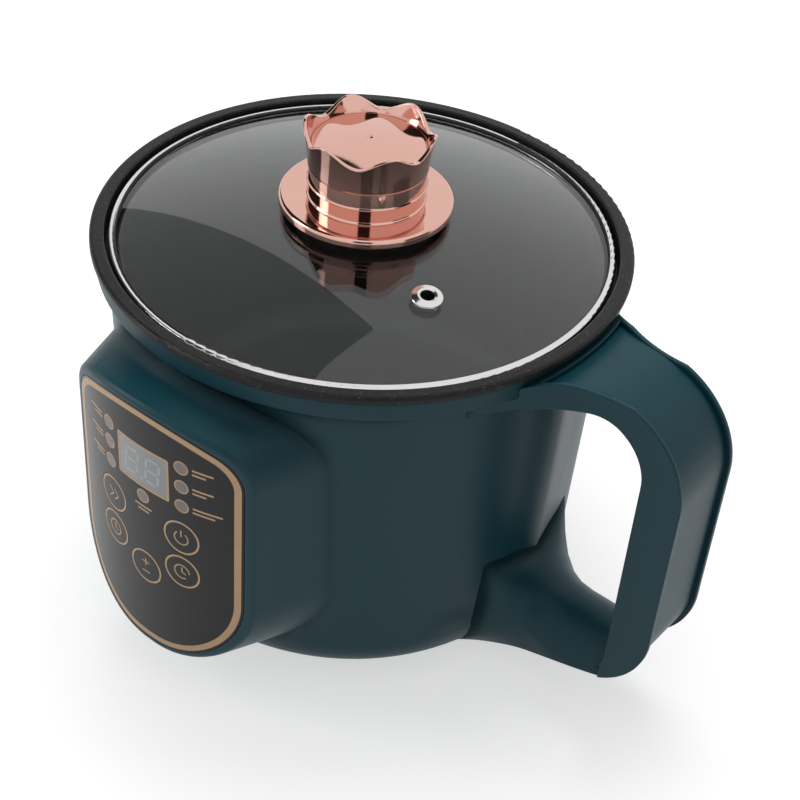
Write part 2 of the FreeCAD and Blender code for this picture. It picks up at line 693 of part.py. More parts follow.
def make_control_board():
    """Board behind the panel with its switches, lamps and two-digit display."""
    keep("control_board", box(-BOARD_WIDTH / 2, BOARD_WIDTH / 2, -BOARD_FACE, -BOARD_FACE + BOARD,
                              level(BOARD_BOTTOM), level(BOARD_TOP)))
    switches = []
    for along, below in KEY_PLACES:
        spot = panel_point(along, below, switch_reach(along))
        half = SWITCH_SIZE / 2
        body = box(spot.x - half, spot.x + half, -BOARD_FACE - SWITCH_HEIGHT, -BOARD_FACE,
                   spot.z - half, spot.z + half)
        bore = panel_peg(along, below, KEY_TIP + 0.15, switch_reach(along) + 3,
                         switch_reach(along) - 0.9 - KEY_TRAVEL - 0.3)
        switches.append(body.cut(bore))
    keep("key_switches", Part.makeCompound(switches))
    lamps = []
    for along, below in LAMP_PLACES:
        spot = panel_point(along, below, POD_FRONT_INNER - 1)
        lamps.append(box(spot.x - 1.2, spot.x + 1.2, spot.y + 0.6, -BOARD_FACE,
                         spot.z - 1.2, spot.z + 1.2))
    keep("indicator_lamps", Part.makeCompound(lamps))
    half = WINDOW_WIDTH / 2 - 0.5
    tall = WINDOW_HEIGHT / 2 - 0.3
    front = PANEL_AXIS + POD_FRONT_INNER * math.cos(half / PANEL_RADIUS) - 0.6
    middle = level(WINDOW_CENTRE)
    keep("display_module", box(-half, half, -front, -BOARD_FACE, middle - tall, middle + tall))
    posts = []
    screws = []
    top = level(BOARD_TOP) - 4
    low = level(BOARD_BOTTOM) + 4
    for x, z in ((-26, top), (26, top), (-26, low), (26, low)):
        front_wall = PANEL_AXIS + math.sqrt(POD_FRONT_INNER ** 2 - (abs(x) + 2.6) ** 2)
        post = Part.makeCylinder(2.6, front_wall - BOARD_FACE + 0.6, Vector(x, -BOARD_FACE, z),
                                 Vector(0, -1, 0))
        post = post.common(disc(POD_FRONT_INNER + 0.5, 0, RIM_HEIGHT, 0, -PANEL_AXIS))
        posts.append(post.cut(Part.makeCylinder(1.0, 6, Vector(x, -BOARD_FACE + 1, z), Vector(0, -1, 0))))
        head = Part.makeCylinder(2.2, 1.6, Vector(x, -BOARD_FACE + BOARD + 1.6, z), Vector(0, -1, 0))
        shank = Part.makeCylinder(1.0, 6, Vector(x, -BOARD_FACE + BOARD, z), Vector(0, -1, 0))
        screws.append(head.fuse(shank))
    board = pieces["control_board"]
    for x, z in ((-26, top), (26, top), (-26, low), (26, low)):
        board = board.cut(Part.makeCylinder(1.1, 10, Vector(x, -BOARD_FACE + 5, z), Vector(0, -1, 0)))
    keep("control_board", board)
    keep("board_screws", Part.makeCompound(screws))
    keep("housing", pieces["housing"].fuse(Part.makeCompound(posts)).removeSplitter())


def make_handle_cover():
    inset = GRIP_LIP + GRIP_COVER_GAP
    cover = cover_band(GRIP_LIP_DEPTH, GRIP_LIP_DEPTH + GRIP_COVER, inset)
    shift = disc(RIM_RADIUS + 1.2 + GRIP_COVER_GAP, 0, RIM_HEIGHT + 10)
    cover = cover.cut(shift)
    centre_x = HANDLE_REACH - HANDLE_CORNER
    cover = cover.cut(box(0, centre_x + 8 + GRIP_COVER_GAP, -90, 90, -20, level(HOLE_BOTTOM) + 2))
    keep("handle_cover", cover)


def make_pot():
    """Inner pot with its rim flange and lid seat, and the silicone ring under the flange."""
    floor = POT_FLOOR
    flat = POT_FLOOR_RADIUS - POT_FLOOR_CORNER
    inner_centre = (flat, floor + POT_FLOOR_CORNER)
    outer_corner = POT_FLOOR_CORNER + POT_WALL
    seat_low = SEAT - POT_WALL
    top = RIM_HEIGHT
    round_edge = 1.3
    low_edge = top - POT_FLANGE
    keep("inner_pot", turned([
        (0, floor),
        (flat, floor),
        (POT_FLOOR_RADIUS, inner_centre[1], corner_middle(inner_centre, POT_FLOOR_CORNER, -90, 0)),
        (POT_MOUTH, SEAT - 1.0),
        (POT_MOUTH + 1.0, SEAT),
        (POT_SEAT_RADIUS, SEAT),
        (POT_SEAT_RADIUS, top - 0.5),
        (POT_SEAT_RADIUS + 0.5, top),
        (RIM_RADIUS - round_edge, top),
        (RIM_RADIUS, top - round_edge, corner_middle((RIM_RADIUS - round_edge, top - round_edge),
                                                     round_edge, 0, 90)),
        (RIM_RADIUS, low_edge + 0.6),
        (RIM_RADIUS - 0.6, low_edge),
        (STEP_OUTER, low_edge),
        (STEP_OUTER, seat_low),
        (POT_MOUTH + POT_WALL, seat_low),
        (POT_MOUTH + POT_WALL, seat_low - 1.0),
        (POT_FLOOR_RADIUS + POT_WALL, inner_centre[1]),
        (flat, floor - POT_WALL, corner_middle(inner_centre, outer_corner, -90, 0)),
        (0, floor - POT_WALL)]))
    keep("pot_gasket", ring(COLLAR_RADIUS - 0.2, COLLAR_INNER + 0.1, HOUSING_TOP, low_edge))


def make_heater():
    """Cast heating plate with its element, clamped over a heat shield, and the sensor in its centre."""
    high = POT_FLOOR - POT_WALL
    low = high - HEATER
    groove_z = low + 0.8
    groove = Part.makeTorus(ELEMENT_RADIUS, ELEMENT_TUBE + 0.05, Vector(0, 0, groove_z))
    plate = ring(HEATER_RADIUS, SENSOR_HOLE, low, high).cut(groove)
    keep("heating_plate", plate)
    tube = Part.makeTorus(ELEMENT_RADIUS, ELEMENT_TUBE, Vector(0, 0, groove_z))
    gap = box(0, 80, -5, 5, 0, 100)
    leads = []
    for side in (-1, 1):
        lead = Part.makeCylinder(1.6, 8.0, Vector(ELEMENT_RADIUS - 0.4, side * 8.0, groove_z - 8.5))
        leads.append(lead)
    tube = tube.cut(gap)
    keep("heating_element", fused([tube] + leads))
    studs = []
    nuts = []
    spacers = []
    shield_low = SHIELD_TOP - SHIELD
    for x, y in around(3, STUD_RING, 30.0):
        studs.append(disc(STUD_RADIUS, shield_low - 7, low, x, y))
        nut = Part.Face(Part.makePolygon([
            Vector(x + 4.0 * math.cos(math.radians(a)), y + 4.0 * math.sin(math.radians(a)), shield_low - 3.2)
            for a in range(0, 361, 60)])).extrude(Vector(0, 0, 3.2))
        nuts.append(nut.cut(disc(STUD_RADIUS + 0.02, 0, 100, x, y)))
        spacers.append(ring(4.0, STUD_RADIUS + 0.1, SHIELD_TOP, low, x, y))
    keep("heater_studs", Part.makeCompound(studs))
    keep("stud_nuts", Part.makeCompound(nuts))
    keep("stud_spacers", Part.makeCompound(spacers))
    shield = ring(SHIELD_RADIUS, SENSOR_RADIUS - 2, shield_low, SHIELD_TOP)
    shield = shield.fuse(ring(SHIELD_RADIUS, SHIELD_RADIUS - SHIELD, shield_low, SHIELD_TOP + 5))
    for x, y in around(3, STUD_RING, 30.0):
        shield = shield.cut(disc(STUD_RADIUS + 0.1, 0, 100, x, y))
    for side in (-1, 1):
        shield = shield.cut(disc(3.2, 0, 100, ELEMENT_RADIUS - 0.4, side * 8.0))
    screws = []
    for angle in SHIELD_LUGS:
        x = (SHIELD_RADIUS - 4.5) * math.cos(math.radians(angle))
        y = (SHIELD_RADIUS - 4.5) * math.sin(math.radians(angle))
        shield = shield.cut(disc(SCREW_RADIUS + 0.1, 0, 100, x, y))
        screws.append(fused([disc(SCREW_HEAD, SHIELD_TOP, SHIELD_TOP + 1.8, x, y),
                             disc(SCREW_RADIUS, shield_low - 6, SHIELD_TOP, x, y)]))
        bore = disc(SCREW_RADIUS, shield_low - 6, shield_low + 1, x, y)
        keep("housing", pieces["housing"].cut(bore))
    keep("heat_shield", shield)
    keep("shield_screws", Part.makeCompound(screws))
    stem = disc(SENSOR_RADIUS - 2.1, shield_low - 4, high - 6)
    holder = fused([stem, disc(SENSOR_RADIUS - 1, SHIELD_TOP, SHIELD_TOP + 2)])
    keep("sensor_holder", holder)
    cap = disc(SENSOR_RADIUS, high - 6, high)
    keep("sensor_cap", cap)
    fuse_angle = math.radians(200)
    fuse_x = (ELEMENT_RADIUS - 17) * math.cos(fuse_angle)
    fuse_y = (ELEMENT_RADIUS - 17) * math.sin(fuse_angle)
    fuse_bar = Part.makeCylinder(2.2, 14, Vector(fuse_x, fuse_y - 7, low - 2.2), Vector(0, 1, 0))
    keep("thermal_fuse", fuse_bar)
    clip = box(fuse_x - 3.2, fuse_x + 3.2, fuse_y - 3, fuse_y + 3, low - 5.2, low)
    clip = clip.cut(Part.makeCylinder(2.25, 16, Vector(fuse_x, fuse_y - 8, low - 2.2), Vector(0, 1, 0)))
    clip = clip.cut(box(fuse_x - 2.25, fuse_x + 2.25, fuse_y - 4, fuse_y + 4, low - 2.2, low + 1))
    keep("fuse_clip", clip)


def make_base():
    """Base cover with its vents and screws, and the rubber feet."""
    low = FOOT_HEIGHT
    high = FOOT_HEIGHT + COVER
    cover = disc(COVER_RADIUS, low, high)
    for index in range(7):
        x = -24 + 8 * index
        slot = box(x - 1.25, x + 1.25, -52, -36, low - 1, high + 1)
        cover = cover.cut(slot)
    screws = []
    for x, y in around(3, SCREW_RING - 0.2, 30.0):
        cover = cover.cut(disc(SCREW_RADIUS + 0.1, low - 1, high + 1, x, y))
    posts = []
    board_z = high + POWER_BOARD_STANDOFF
    for x, y in power_board_corners():
        posts.append(disc(3.0, high - 0.5, board_z, x, y).cut(disc(1.0, board_z - 4.4, board_z + 1, x, y)))
    for x, y in around(3, SCREW_RING - 0.2, 30.0):
        head_reach = COVER_RADIUS - SCREW_RING
        head = disc(head_reach, low - 0.8, low, x, y)
        screws.append(head.fuse(disc(SCREW_RADIUS - 0.02, low, high + WALL - 0.6, x, y)))
    keep("base_cover", fused([cover] + posts))
    keep("base_screws", Part.makeCompound(screws))
    feet = []
    outside = body_outer()
    for x, y in around(FOOT_COUNT, FOOT_RING, 45.0):
        pad = disc(FOOT_RADIUS, 0, FOOT_HEIGHT + 1.5, x, y).cut(outside)
        plug = disc(FOOT_PLUG - 0.05, FOOT_HEIGHT - 1, FOOT_HEIGHT + COVER, x, y)
        feet.append(pad.fuse(plug))
    keep("rubber_feet", Part.makeCompound(feet))


def power_board_corners():
    half_x = POWER_BOARD_LENGTH / 2 - 5
    half_y = POWER_BOARD_WIDTH / 2 - 5
    return ((-half_x, -half_y), (half_x, -half_y), (-half_x, half_y), (half_x, half_y))


def make_power():
    """Power board on the base cover with its larger components, and the inlet at the back."""
    z = FOOT_HEIGHT + COVER + POWER_BOARD_STANDOFF
    top = z + BOARD
    board = box(-POWER_BOARD_LENGTH / 2, POWER_BOARD_LENGTH / 2,
                -POWER_BOARD_WIDTH / 2, POWER_BOARD_WIDTH / 2, z, top)
    screws = []
    for x, y in power_board_corners():
        board = board.cut(disc(1.1, z - 1, top + 1, x, y))
        screws.append(fused([disc(2.2, top, top + 1.6, x, y), disc(1.0, top - 5, top, x, y)]))
    keep("power_board", board)
    keep("power_board_screws", Part.makeCompound(screws))
    keep("relay", box(-32, -13, -8, 8, top, top + 15))
    keep("capacitors", Part.makeCompound([disc(5, top, top + 12, 0, -14), disc(4, top, top + 11, 11, -15)]))
    keep("transformer", box(8, 26, -4, 14, top, top + 14))
    keep("terminal_block", box(-20, 4, 18, 27, top, top + 10))
    back = INLET_FACE - INLET_DEPTH
    half = INLET_WIDTH / 2
    tall = INLET_TALL / 2
    shell = box(-half, half, back, INLET_FACE, INLET_HEIGHT - tall, INLET_HEIGHT + tall)
    ears = box(-INLET_EARS / 2, INLET_EARS / 2, INLET_FACE, INLET_FACE + INLET_FLANGE,
               INLET_HEIGHT - tall - 1, INLET_HEIGHT + tall + 1)
    shell = shell.fuse(ears)
    mouth = INLET_FACE + INLET_FLANGE
    recess = box(-half + INLET_WALL, half - INLET_WALL, mouth - INLET_RECESS, mouth + 1,
                 INLET_HEIGHT - tall + INLET_WALL, INLET_HEIGHT + tall - INLET_WALL)
    shell = shell.cut(recess)
    pins = []
    for x, dz in ((-7.0, -2.0), (0.0, 2.0), (7.0, -2.0)):
        pin = box(x - 1.0, x + 1.0, back - 6, mouth - 3, INLET_HEIGHT + dz - 2, INLET_HEIGHT + dz + 2)
        slot = box(x - 1.0, x + 1.0, back - 7, mouth - INLET_RECESS + 0.5,
                   INLET_HEIGHT + dz - 2, INLET_HEIGHT + dz + 2)
        shell = shell.cut(slot)
        pins.append(pin)
    screws = []
    screw_x = (INLET_WIDTH + INLET_EARS) / 4
    for side in (-1, 1):
        bore = Part.makeCylinder(SCREW_RADIUS, 12, Vector(side * screw_x, mouth + 1, INLET_HEIGHT),
                                 Vector(0, -1, 0))
        shank = Part.makeCylinder(SCREW_RADIUS - 0.02, 9.5, Vector(side * screw_x, mouth, INLET_HEIGHT),
                                  Vector(0, -1, 0))
        head = Part.makeCylinder(SCREW_HEAD, 1.5, Vector(side * screw_x, mouth + 1.5, INLET_HEIGHT),
                                 Vector(0, -1, 0))
        shell = shell.cut(bore)
        keep("housing", pieces["housing"].cut(bore))
        screws.append(head.fuse(shank))
    keep("power_inlet", shell)
    keep("inlet_pins", Part.makeCompound(pins))
    keep("inlet_screws", Part.makeCompound(screws))


GLASS_EDGE = LID_RADIUS - LID_BAND - LID_GASKET
GLASS_EDGE_TOP = level(2.77)
LID_LOW = SEAT + LID_CLEARANCE
DOME = (GLASS_EDGE ** 2 + GLASS_RISE ** 2) / (2 * GLASS_RISE)
DOME_CENTRE = GLASS_EDGE_TOP + GLASS_RISE - DOME


def dome_height(radius, sphere=DOME):
    return DOME_CENTRE + math.sqrt(sphere ** 2 - radius ** 2)


def on_dome(shape):
    """Carries a shape made upright on the axis to the steam eyelet's place on the glass."""
    tilt = math.degrees(math.asin(VENT_DISTANCE / DOME))
    shape.rotate(Vector(0, 0, 0), Vector(0, 1, 0), tilt)
    shape.translate(Vector(VENT_DISTANCE, 0, dome_height(VENT_DISTANCE)))
    shape.rotate(Vector(0, 0, 0), Z_AXIS, VENT_ANGLE)
    return shape


def make_lid():
    """Domed glass in a silicone channel and a rolled steel band, with its steam eyelet."""
    under = DOME - GLASS
    half = GLASS_EDGE / 2
    glass = turned([
        (0, dome_height(0, under)),
        (GLASS_EDGE, dome_height(GLASS_EDGE, under), (half, dome_height(half, under))),
        (GLASS_EDGE, dome_height(GLASS_EDGE)),
        (0, dome_height(0), (half, dome_height(half)))])
    glass = glass.cut(disc(SCREW_M5 + 0.6, 0, RIM_HEIGHT + 50))
    glass = glass.cut(on_dome(disc(VENT_BORE + VENT_TUBE + 0.05, -10, 10)))
    keep("lid_glass", glass)
    inner = LID_RADIUS - LID_BAND_LIP - 0.5
    top_in = dome_height(inner)
    top_out = dome_height(GLASS_EDGE)
    low_in = dome_height(inner, under)
    low_out = dome_height(GLASS_EDGE, under)
    outside = GLASS_EDGE + LID_GASKET
    keep("lid_gasket", turned([
        (inner, top_in + 0.01),
        (GLASS_EDGE + 0.01, top_out + 0.01),
        (GLASS_EDGE + 0.01, low_out - 0.01),
        (inner, low_in - 0.03),
        (inner, low_out - LID_GASKET - 0.05),
        (outside, low_out - LID_GASKET - 0.05),
        (outside, top_out + LID_GASKET),
        (inner, top_in + LID_GASKET)]))
    fold = LID_RADIUS - LID_BAND_LIP
    fold_base = top_in + LID_GASKET + 0.06
    outer_base = top_out + LID_GASKET + 0.06
    band_low = min(LID_LOW, low_out - LID_GASKET - LID_BAND - 0.1)
    low_gasket = low_out - LID_GASKET - 0.1
    keep("lid_band", turned([
        (fold, fold_base),
        (outside + 0.01, outer_base),
        (outside + 0.01, low_gasket),
        (inner + 0.5, low_gasket),
        (inner + 0.5, band_low),
        (LID_RADIUS - 0.4, band_low),
        (LID_RADIUS, band_low + 0.4),
        (LID_RADIUS, level(2.2)),
        (LID_RADIUS - 0.9, level(1.45), (LID_RADIUS - 0.3, level(1.62))),
        (fold, fold_base + LID_BAND, (fold + 0.6, level(1.50)))]))
    tube = VENT_BORE + VENT_TUBE
    eyelet = ring(tube, VENT_BORE, -GLASS - VENT_THICK, VENT_THICK)
    top_rim = turned([
        (VENT_BORE, 0.12), (VENT_FLANGE, 0.12), (VENT_FLANGE - 0.2, 0.7),
        (VENT_BORE + 0.9, VENT_THICK + 0.3), (VENT_BORE, VENT_THICK + 0.1)])
    low_rim = ring(VENT_FLANGE - 1, VENT_BORE, -GLASS - VENT_THICK, -GLASS - 0.1)
    keep("steam_eyelet", on_dome(fused([eyelet, top_rim, low_rim])))


PLATE_LOW = GLASS_EDGE_TOP + GLASS_RISE + KNOB_SEAL
PLATE_TOP = PLATE_LOW + KNOB_PLATE
CROWN_LOW = PLATE_TOP + KNOB_NECK_HEIGHT
CROWN_TOP = CROWN_LOW + KNOB_CROWN_HEIGHT
CAP_EDGE = CROWN_TOP - KNOB_DISH


def lip_cutter():
    """Everything above the crown's wavy lip."""
    count = 6 * KNOB_LOBES
    lines = []
    for radius in (KNOB_CROWN_FOOT - 12, KNOB_CROWN_LIP + 12):
        points = []
        for index in range(count):
            angle = 360.0 * index / count
            wave = math.cos(math.radians(KNOB_LOBES * (angle - KNOB_LOBE_ANGLE)))
            z = CROWN_TOP - KNOB_LOBE_DEPTH * (1 - wave) / 2
            points.append(Vector(radius * math.cos(math.radians(angle)),
                                 radius * math.sin(math.radians(angle)), z))
        curve = Part.BSplineCurve()
        curve.interpolate(points, PeriodicFlag=True)
        lines.append(curve.toShape())
    surface = Part.makeRuledSurface(lines[0], lines[1])
    return surface.extrude(Vector(0, 0, 2 * KNOB_LOBE_DEPTH + 4))


def make_knob():
    """Plated plate, crown and cap held by one screw through the glass, with their seals."""
    edge = 1.4
    hole = SCREW_M5 + 0.1
    keep("knob_plate", turned([
        (hole, PLATE_LOW), (KNOB_PLATE_RADIUS - 1.0, PLATE_LOW), (KNOB_PLATE_RADIUS, PLATE_LOW + 1.0),
        (KNOB_PLATE_RADIUS, PLATE_TOP - edge),
        (KNOB_PLATE_RADIUS - edge, PLATE_TOP,
         corner_middle((KNOB_PLATE_RADIUS - edge, PLATE_TOP - edge), edge, 0, 90)),
        (hole, PLATE_TOP)]))
    seal_top = PLATE_LOW
    keep("knob_seal", turned([
        (SCREW_M5 + 0.7, dome_height(SCREW_M5) + 0.02),
        (KNOB_SEAL_RADIUS, dome_height(KNOB_SEAL_RADIUS) + 0.02,
         (KNOB_SEAL_RADIUS / 2, dome_height(KNOB_SEAL_RADIUS / 2) + 0.02)),
        (KNOB_SEAL_RADIUS, seal_top),
        (SCREW_M5 + 0.7, seal_top)]))
    ring_z = PLATE_TOP + 6.1
    lip_in = KNOB_CROWN_LIP - KNOB_CROWN_WALL + 0.3
    foot_in = KNOB_CROWN_FOOT - KNOB_CROWN_WALL + 0.2
    crown = turned([
        (SCREW_M5, PLATE_TOP), (KNOB_NECK + 0.6, PLATE_TOP), (KNOB_NECK, PLATE_TOP + 0.7),
        (KNOB_NECK, ring_z - 0.5), (KNOB_NECK + 0.7, ring_z), (KNOB_NECK + 0.3, ring_z + 0.6),
        (KNOB_NECK + 0.3, CROWN_LOW - 0.5), (KNOB_CROWN_FOOT, CROWN_LOW),
        (KNOB_CROWN_LIP, CROWN_TOP, (KNOB_CROWN_FOOT + 0.7, CROWN_LOW + KNOB_CROWN_HEIGHT * 0.5)),
        (lip_in, CROWN_TOP), (foot_in, CAP_EDGE), (foot_in, CAP_EDGE - KNOB_CAP),
        (foot_in - 3, CAP_EDGE - KNOB_CAP), (foot_in - 3, CROWN_LOW - 4), (SCREW_M5, CROWN_LOW - 4)])
    crown = crown.cut(lip_cutter())
    keep("knob_crown", crown)
    rise = CAP_EDGE + KNOB_CAP_RISE
    reach = foot_in - 0.1
    keep("knob_cap", turned([
        (0, CAP_EDGE - KNOB_CAP), (reach, CAP_EDGE - KNOB_CAP), (reach, CAP_EDGE),
        (0, rise, (reach / 2, CAP_EDGE + KNOB_CAP_RISE * 0.75))]).cut(
            Part.makeSphere(1.3, Vector(0, 0, rise + 0.6))))
    under = dome_height(0, DOME - GLASS)
    screw_low = under - 4.0
    keep("knob_screw", fused([
        disc(SCREW_M5 - 0.02, under - 2.2, CROWN_LOW - 6), disc(4.6, screw_low - 0.8, under - 2.2)]))
    keep("screw_washer", ring(7.5, SCREW_M5 + 0.1, under - 2.2, under - 1.2))
    keep("screw_seal", ring(9.0, SCREW_M5 + 0.1, under - 1.2, under - 0.12))


def write_all():
    os.makedirs("parts", exist_ok=True)
    for name, shape in pieces.items():
        solids = shape.Solids
        if not solids:
            raise ValueError("no solid in " + name)
        good = all(solid.isValid() for solid in solids)
        print("%-20s solids %2d volume %10.1f valid %s" % (name, len(solids), shape.Volume, good))
        shape.exportStep("parts/" + name + ".step")


make_housing()
make_handle()
make_panel()
make_control_board()
make_handle_cover()
make_pot()
make_heater()
make_base()
make_power()
make_lid()
make_knob()
write_all()
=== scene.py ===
"""Dresses the electric hot pot: finishes, the panel's print, a studio stage and a camera."""
import math

import bpy
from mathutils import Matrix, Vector


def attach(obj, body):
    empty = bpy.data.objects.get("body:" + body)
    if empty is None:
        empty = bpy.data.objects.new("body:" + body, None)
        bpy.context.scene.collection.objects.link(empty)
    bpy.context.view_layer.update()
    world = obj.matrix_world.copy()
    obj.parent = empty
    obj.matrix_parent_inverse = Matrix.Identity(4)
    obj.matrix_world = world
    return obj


bl_info = {
    "name": "Hot Pot Dresser",
    "version": (1, 0, 0),
    "blender": (4, 5, 0),
    "location": "View3D > Sidebar > Hot Pot",
    "description": "Finishes, panel print and stage for an electric hot pot with a lift-off lid",
    "category": "Object",
}

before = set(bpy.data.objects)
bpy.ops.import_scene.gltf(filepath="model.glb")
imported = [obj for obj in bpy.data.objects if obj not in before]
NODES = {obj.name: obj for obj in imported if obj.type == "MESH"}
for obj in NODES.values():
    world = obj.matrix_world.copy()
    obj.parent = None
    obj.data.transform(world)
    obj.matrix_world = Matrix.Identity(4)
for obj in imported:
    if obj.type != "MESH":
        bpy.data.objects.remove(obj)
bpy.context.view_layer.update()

# Places on the panel, in millimetres: along its curve from the middle, and down from the pot's rim.
MM = 0.001
RIM_HEIGHT = 152.0
PANEL_RADIUS = 90.4
PANEL_AXIS = 24.0             # the panel's cylinder axis lies this far in front of the pot's

# Outer edge of the printed border: a shield with an arched top and a round low end.
HALF_WIDTH = 38.8
TOP_BELOW = 20.1
BOTTOM_BELOW = 129.0
TOP_ARC = 80.6                # radius of the arched top
TOP_CORNER = 14.0
LOW_ARC = 36.0
ARC_POINTS = 24
CORNER_POINTS = 12
SIDE_POINTS = 12
LOW_FLAT_POINTS = 4           # along the short flat between the two low arcs

KEYS = ((-16.9, 68.35), (-16.9, 85.0), (16.9, 68.35), (16.9, 85.0), (0.0, 92.5))
LAMPS = ((-17.5, 35.6), (-17.5, 44.1), (-17.5, 53.0),
         (17.5, 35.6), (17.5, 44.1), (17.5, 53.0), (0.0, 58.1))
LAMP_RING = 2.95              # outer radius of a lamp's ring
LAMP_RING_WIDTH = 0.55
WINDOW_CENTRE = (0.0, 44.45)
WINDOW_SIZE = (22.4, 16.6)
WINDOW_MARGIN = 1.1           # the printed frame's outer edge lies this far outside the window
WINDOW_LINE = 1.05
KEY_RING = 7.5
SYMBOL_PEN = 0.55

# Plain dashes in place of the lamps' labels.
DASH = 0.8
DASH_GAP = 1.8                # from one dash's middle to the next one's
DASH_START = 4.4              # from a lamp's centre
LEFT_DASHES = (8.2, 5.4)
RIGHT_DASHES = (8.2, 8.2, 11.5)
RIGHT_SHORTER = 2.8
LOW_DASHES = ((4.1, 62.9), (2.7, 64.7))   # half length and depth

# Unlit figures of seven segments.
DIGIT_CENTRES = (-4.9, 4.9)
DIGIT_HALF_WIDTH = 2.9
DIGIT_HALF_HEIGHT = 5.2
SEGMENT = 1.25
SEGMENT_GAP = 0.35
SEGMENT_TAPER = 0.6
DIGIT_LEAN = 0.10
POINT_RADIUS = 0.75
POINT_RING = 0.7

PRINT_LIFT = 0.035            # how far printed lines stand off the film
PRINT_SINK = 0.05             # how far they reach into it
PRINT_STEP = 1.2              # longest straight step of a printed bar on the curved film
SIDE_STEPS = 12               # steps between two points of a printed frame
FRAME_CORNER = 0.8
FRAME_CORNER_LEAST = 0.15
FRAME_CORNER_STEPS = 4
ARC_STEP = 5.0                # degrees
SHORTEST_TAPER = 0.12
BAR_TIP = 0.15                # a bar's width at its very end, as a share

# Where the housing's seams are shaded as wide blends, in metres: each pair fades between two values.
POD_REACH = (0.0995, 0.1055)  # distance from the pot's axis
POD_FRONT = (-0.066, -0.058)
POD_TOP = (0.1365, 0.1395)
HANDLE_SIDE = (0.056, 0.066)
HANDLE_REACH = (0.104, 0.120)
HANDLE_TOP = (0.128, 0.136)

# Colours that are written in more than one socket.
WINDOW_GREY = (0.205, 0.215, 0.22)
LENS_GREY = (0.19, 0.157, 0.147)
SEGMENT_GREY = (0.36, 0.39, 0.40)
BOARD_GREEN = (0.015, 0.12, 0.045)
TRACK_LOW = (0.012, 0.10, 0.04, 1.0)
TRACK_HIGH = (0.03, 0.18, 0.07, 1.0)
SPECK_GREY = (0.16, 0.16, 0.16, 1.0)

# The studio, in metres, watts and degrees. A lamp has its place, width, height and power; a card its
# place, width and height.
POT_MIDDLE = (0, 0, 0.1)
LID_MIDDLE = (0, 0, 0.17)
FLOOR_GLOW = 0.55
WORLD_ON_OBJECT = 0.48
WORLD_SEEN = 1.0
OVERHEAD_LAMP = ((-0.25, 0.35, 1.3), 0.9, 0.7, 9.0)
LEFT_LAMP = ((-1.1, -0.9, 0.7), 0.5, 0.9, 6.0)
FRONT_CARD = ((0.62, -0.80, 0.80), 0.42, 0.95)
UPPER_CARD = ((-1.00, -0.05, 1.25), 1.5, 1.5)
SIDE_CARD = ((1.1, 0.35, 0.35), 0.7, 0.7)
CAMERA_PLACE = (0.313404, -0.396839, 0.485265)
CAMERA_TURN = (50.5515, -3.80575, 39.32367)
CAMERA_LENS = 73.534          # millimetres, on a sensor 36 mm wide
CAMERA_SENSOR = 36.0
CAMERA_NEAREST = 0.01


class HousingLook(bpy.types.PropertyGroup):
    teal: bpy.props.FloatVectorProperty(
        name="Body colour", description="Colour of the housing's satin plastic", subtype="COLOR",
        size=3, min=0.0, max=1.0, default=(0.0036, 0.0410, 0.0560))
    roughness: bpy.props.FloatProperty(
        name="Roughness", description="Roughness of the satin plastic", min=0.05, max=1.0,
        subtype="FACTOR", default=0.40)
    edge_softness: bpy.props.FloatProperty(
        name="Edge softness", description="Radius of the moulding's small edge roundings",
        unit="LENGTH", min=0.0002, max=0.003, default=0.0009)
    blend_softness: bpy.props.FloatProperty(
        name="Seam blend", unit="LENGTH",
        description="Radius of the rounding where the pod and the handle leave the body", min=0.001, max=0.02, default=0.012)


class PanelLook(bpy.types.PropertyGroup):
    film: bpy.props.FloatVectorProperty(
        name="Film colour", description="Colour of the glossy panel film", subtype="COLOR",
        size=3, min=0.0, max=1.0, default=(0.011, 0.011, 0.0135))
    line: bpy.props.FloatVectorProperty(
        name="Line colour", description="Colour of the printed lines", subtype="COLOR",
        size=3, min=0.0, max=1.0, default=(0.42, 0.27, 0.15))
    border: bpy.props.FloatProperty(
        name="Border width", description="Width of the line round the whole panel",
        unit="LENGTH", min=0.0005, max=0.005, default=0.0024)
    ring: bpy.props.FloatProperty(
        name="Ring width", description="Width of the rings round the keys",
        unit="LENGTH", min=0.0002, max=0.002, default=0.0008)


class LidLook(bpy.types.PropertyGroup):
    plating: bpy.props.FloatVectorProperty(
        name="Knob colour", description="Colour of the knob's plating", subtype="COLOR",
        size=3, min=0.0, max=1.0, default=(0.72, 0.425, 0.36))
    coating: bpy.props.FloatVectorProperty(
        name="Coating colour", description="Colour of the pot's non-stick coating", subtype="COLOR",
        size=3, min=0.0, max=1.0, default=(0.016, 0.016, 0.017))


class StageLook(bpy.types.PropertyGroup):
    floor: bpy.props.FloatVectorProperty(
        name="Floor colour", description="Colour of the floor", subtype="COLOR",
        size=3, min=0.0, max=1.0, default=(0.62, 0.62, 0.62))
    reach: bpy.props.FloatProperty(
        name="Floor reach", description="Half the floor's width", unit="LENGTH",
        min=1.0, max=20.0, default=6.0)


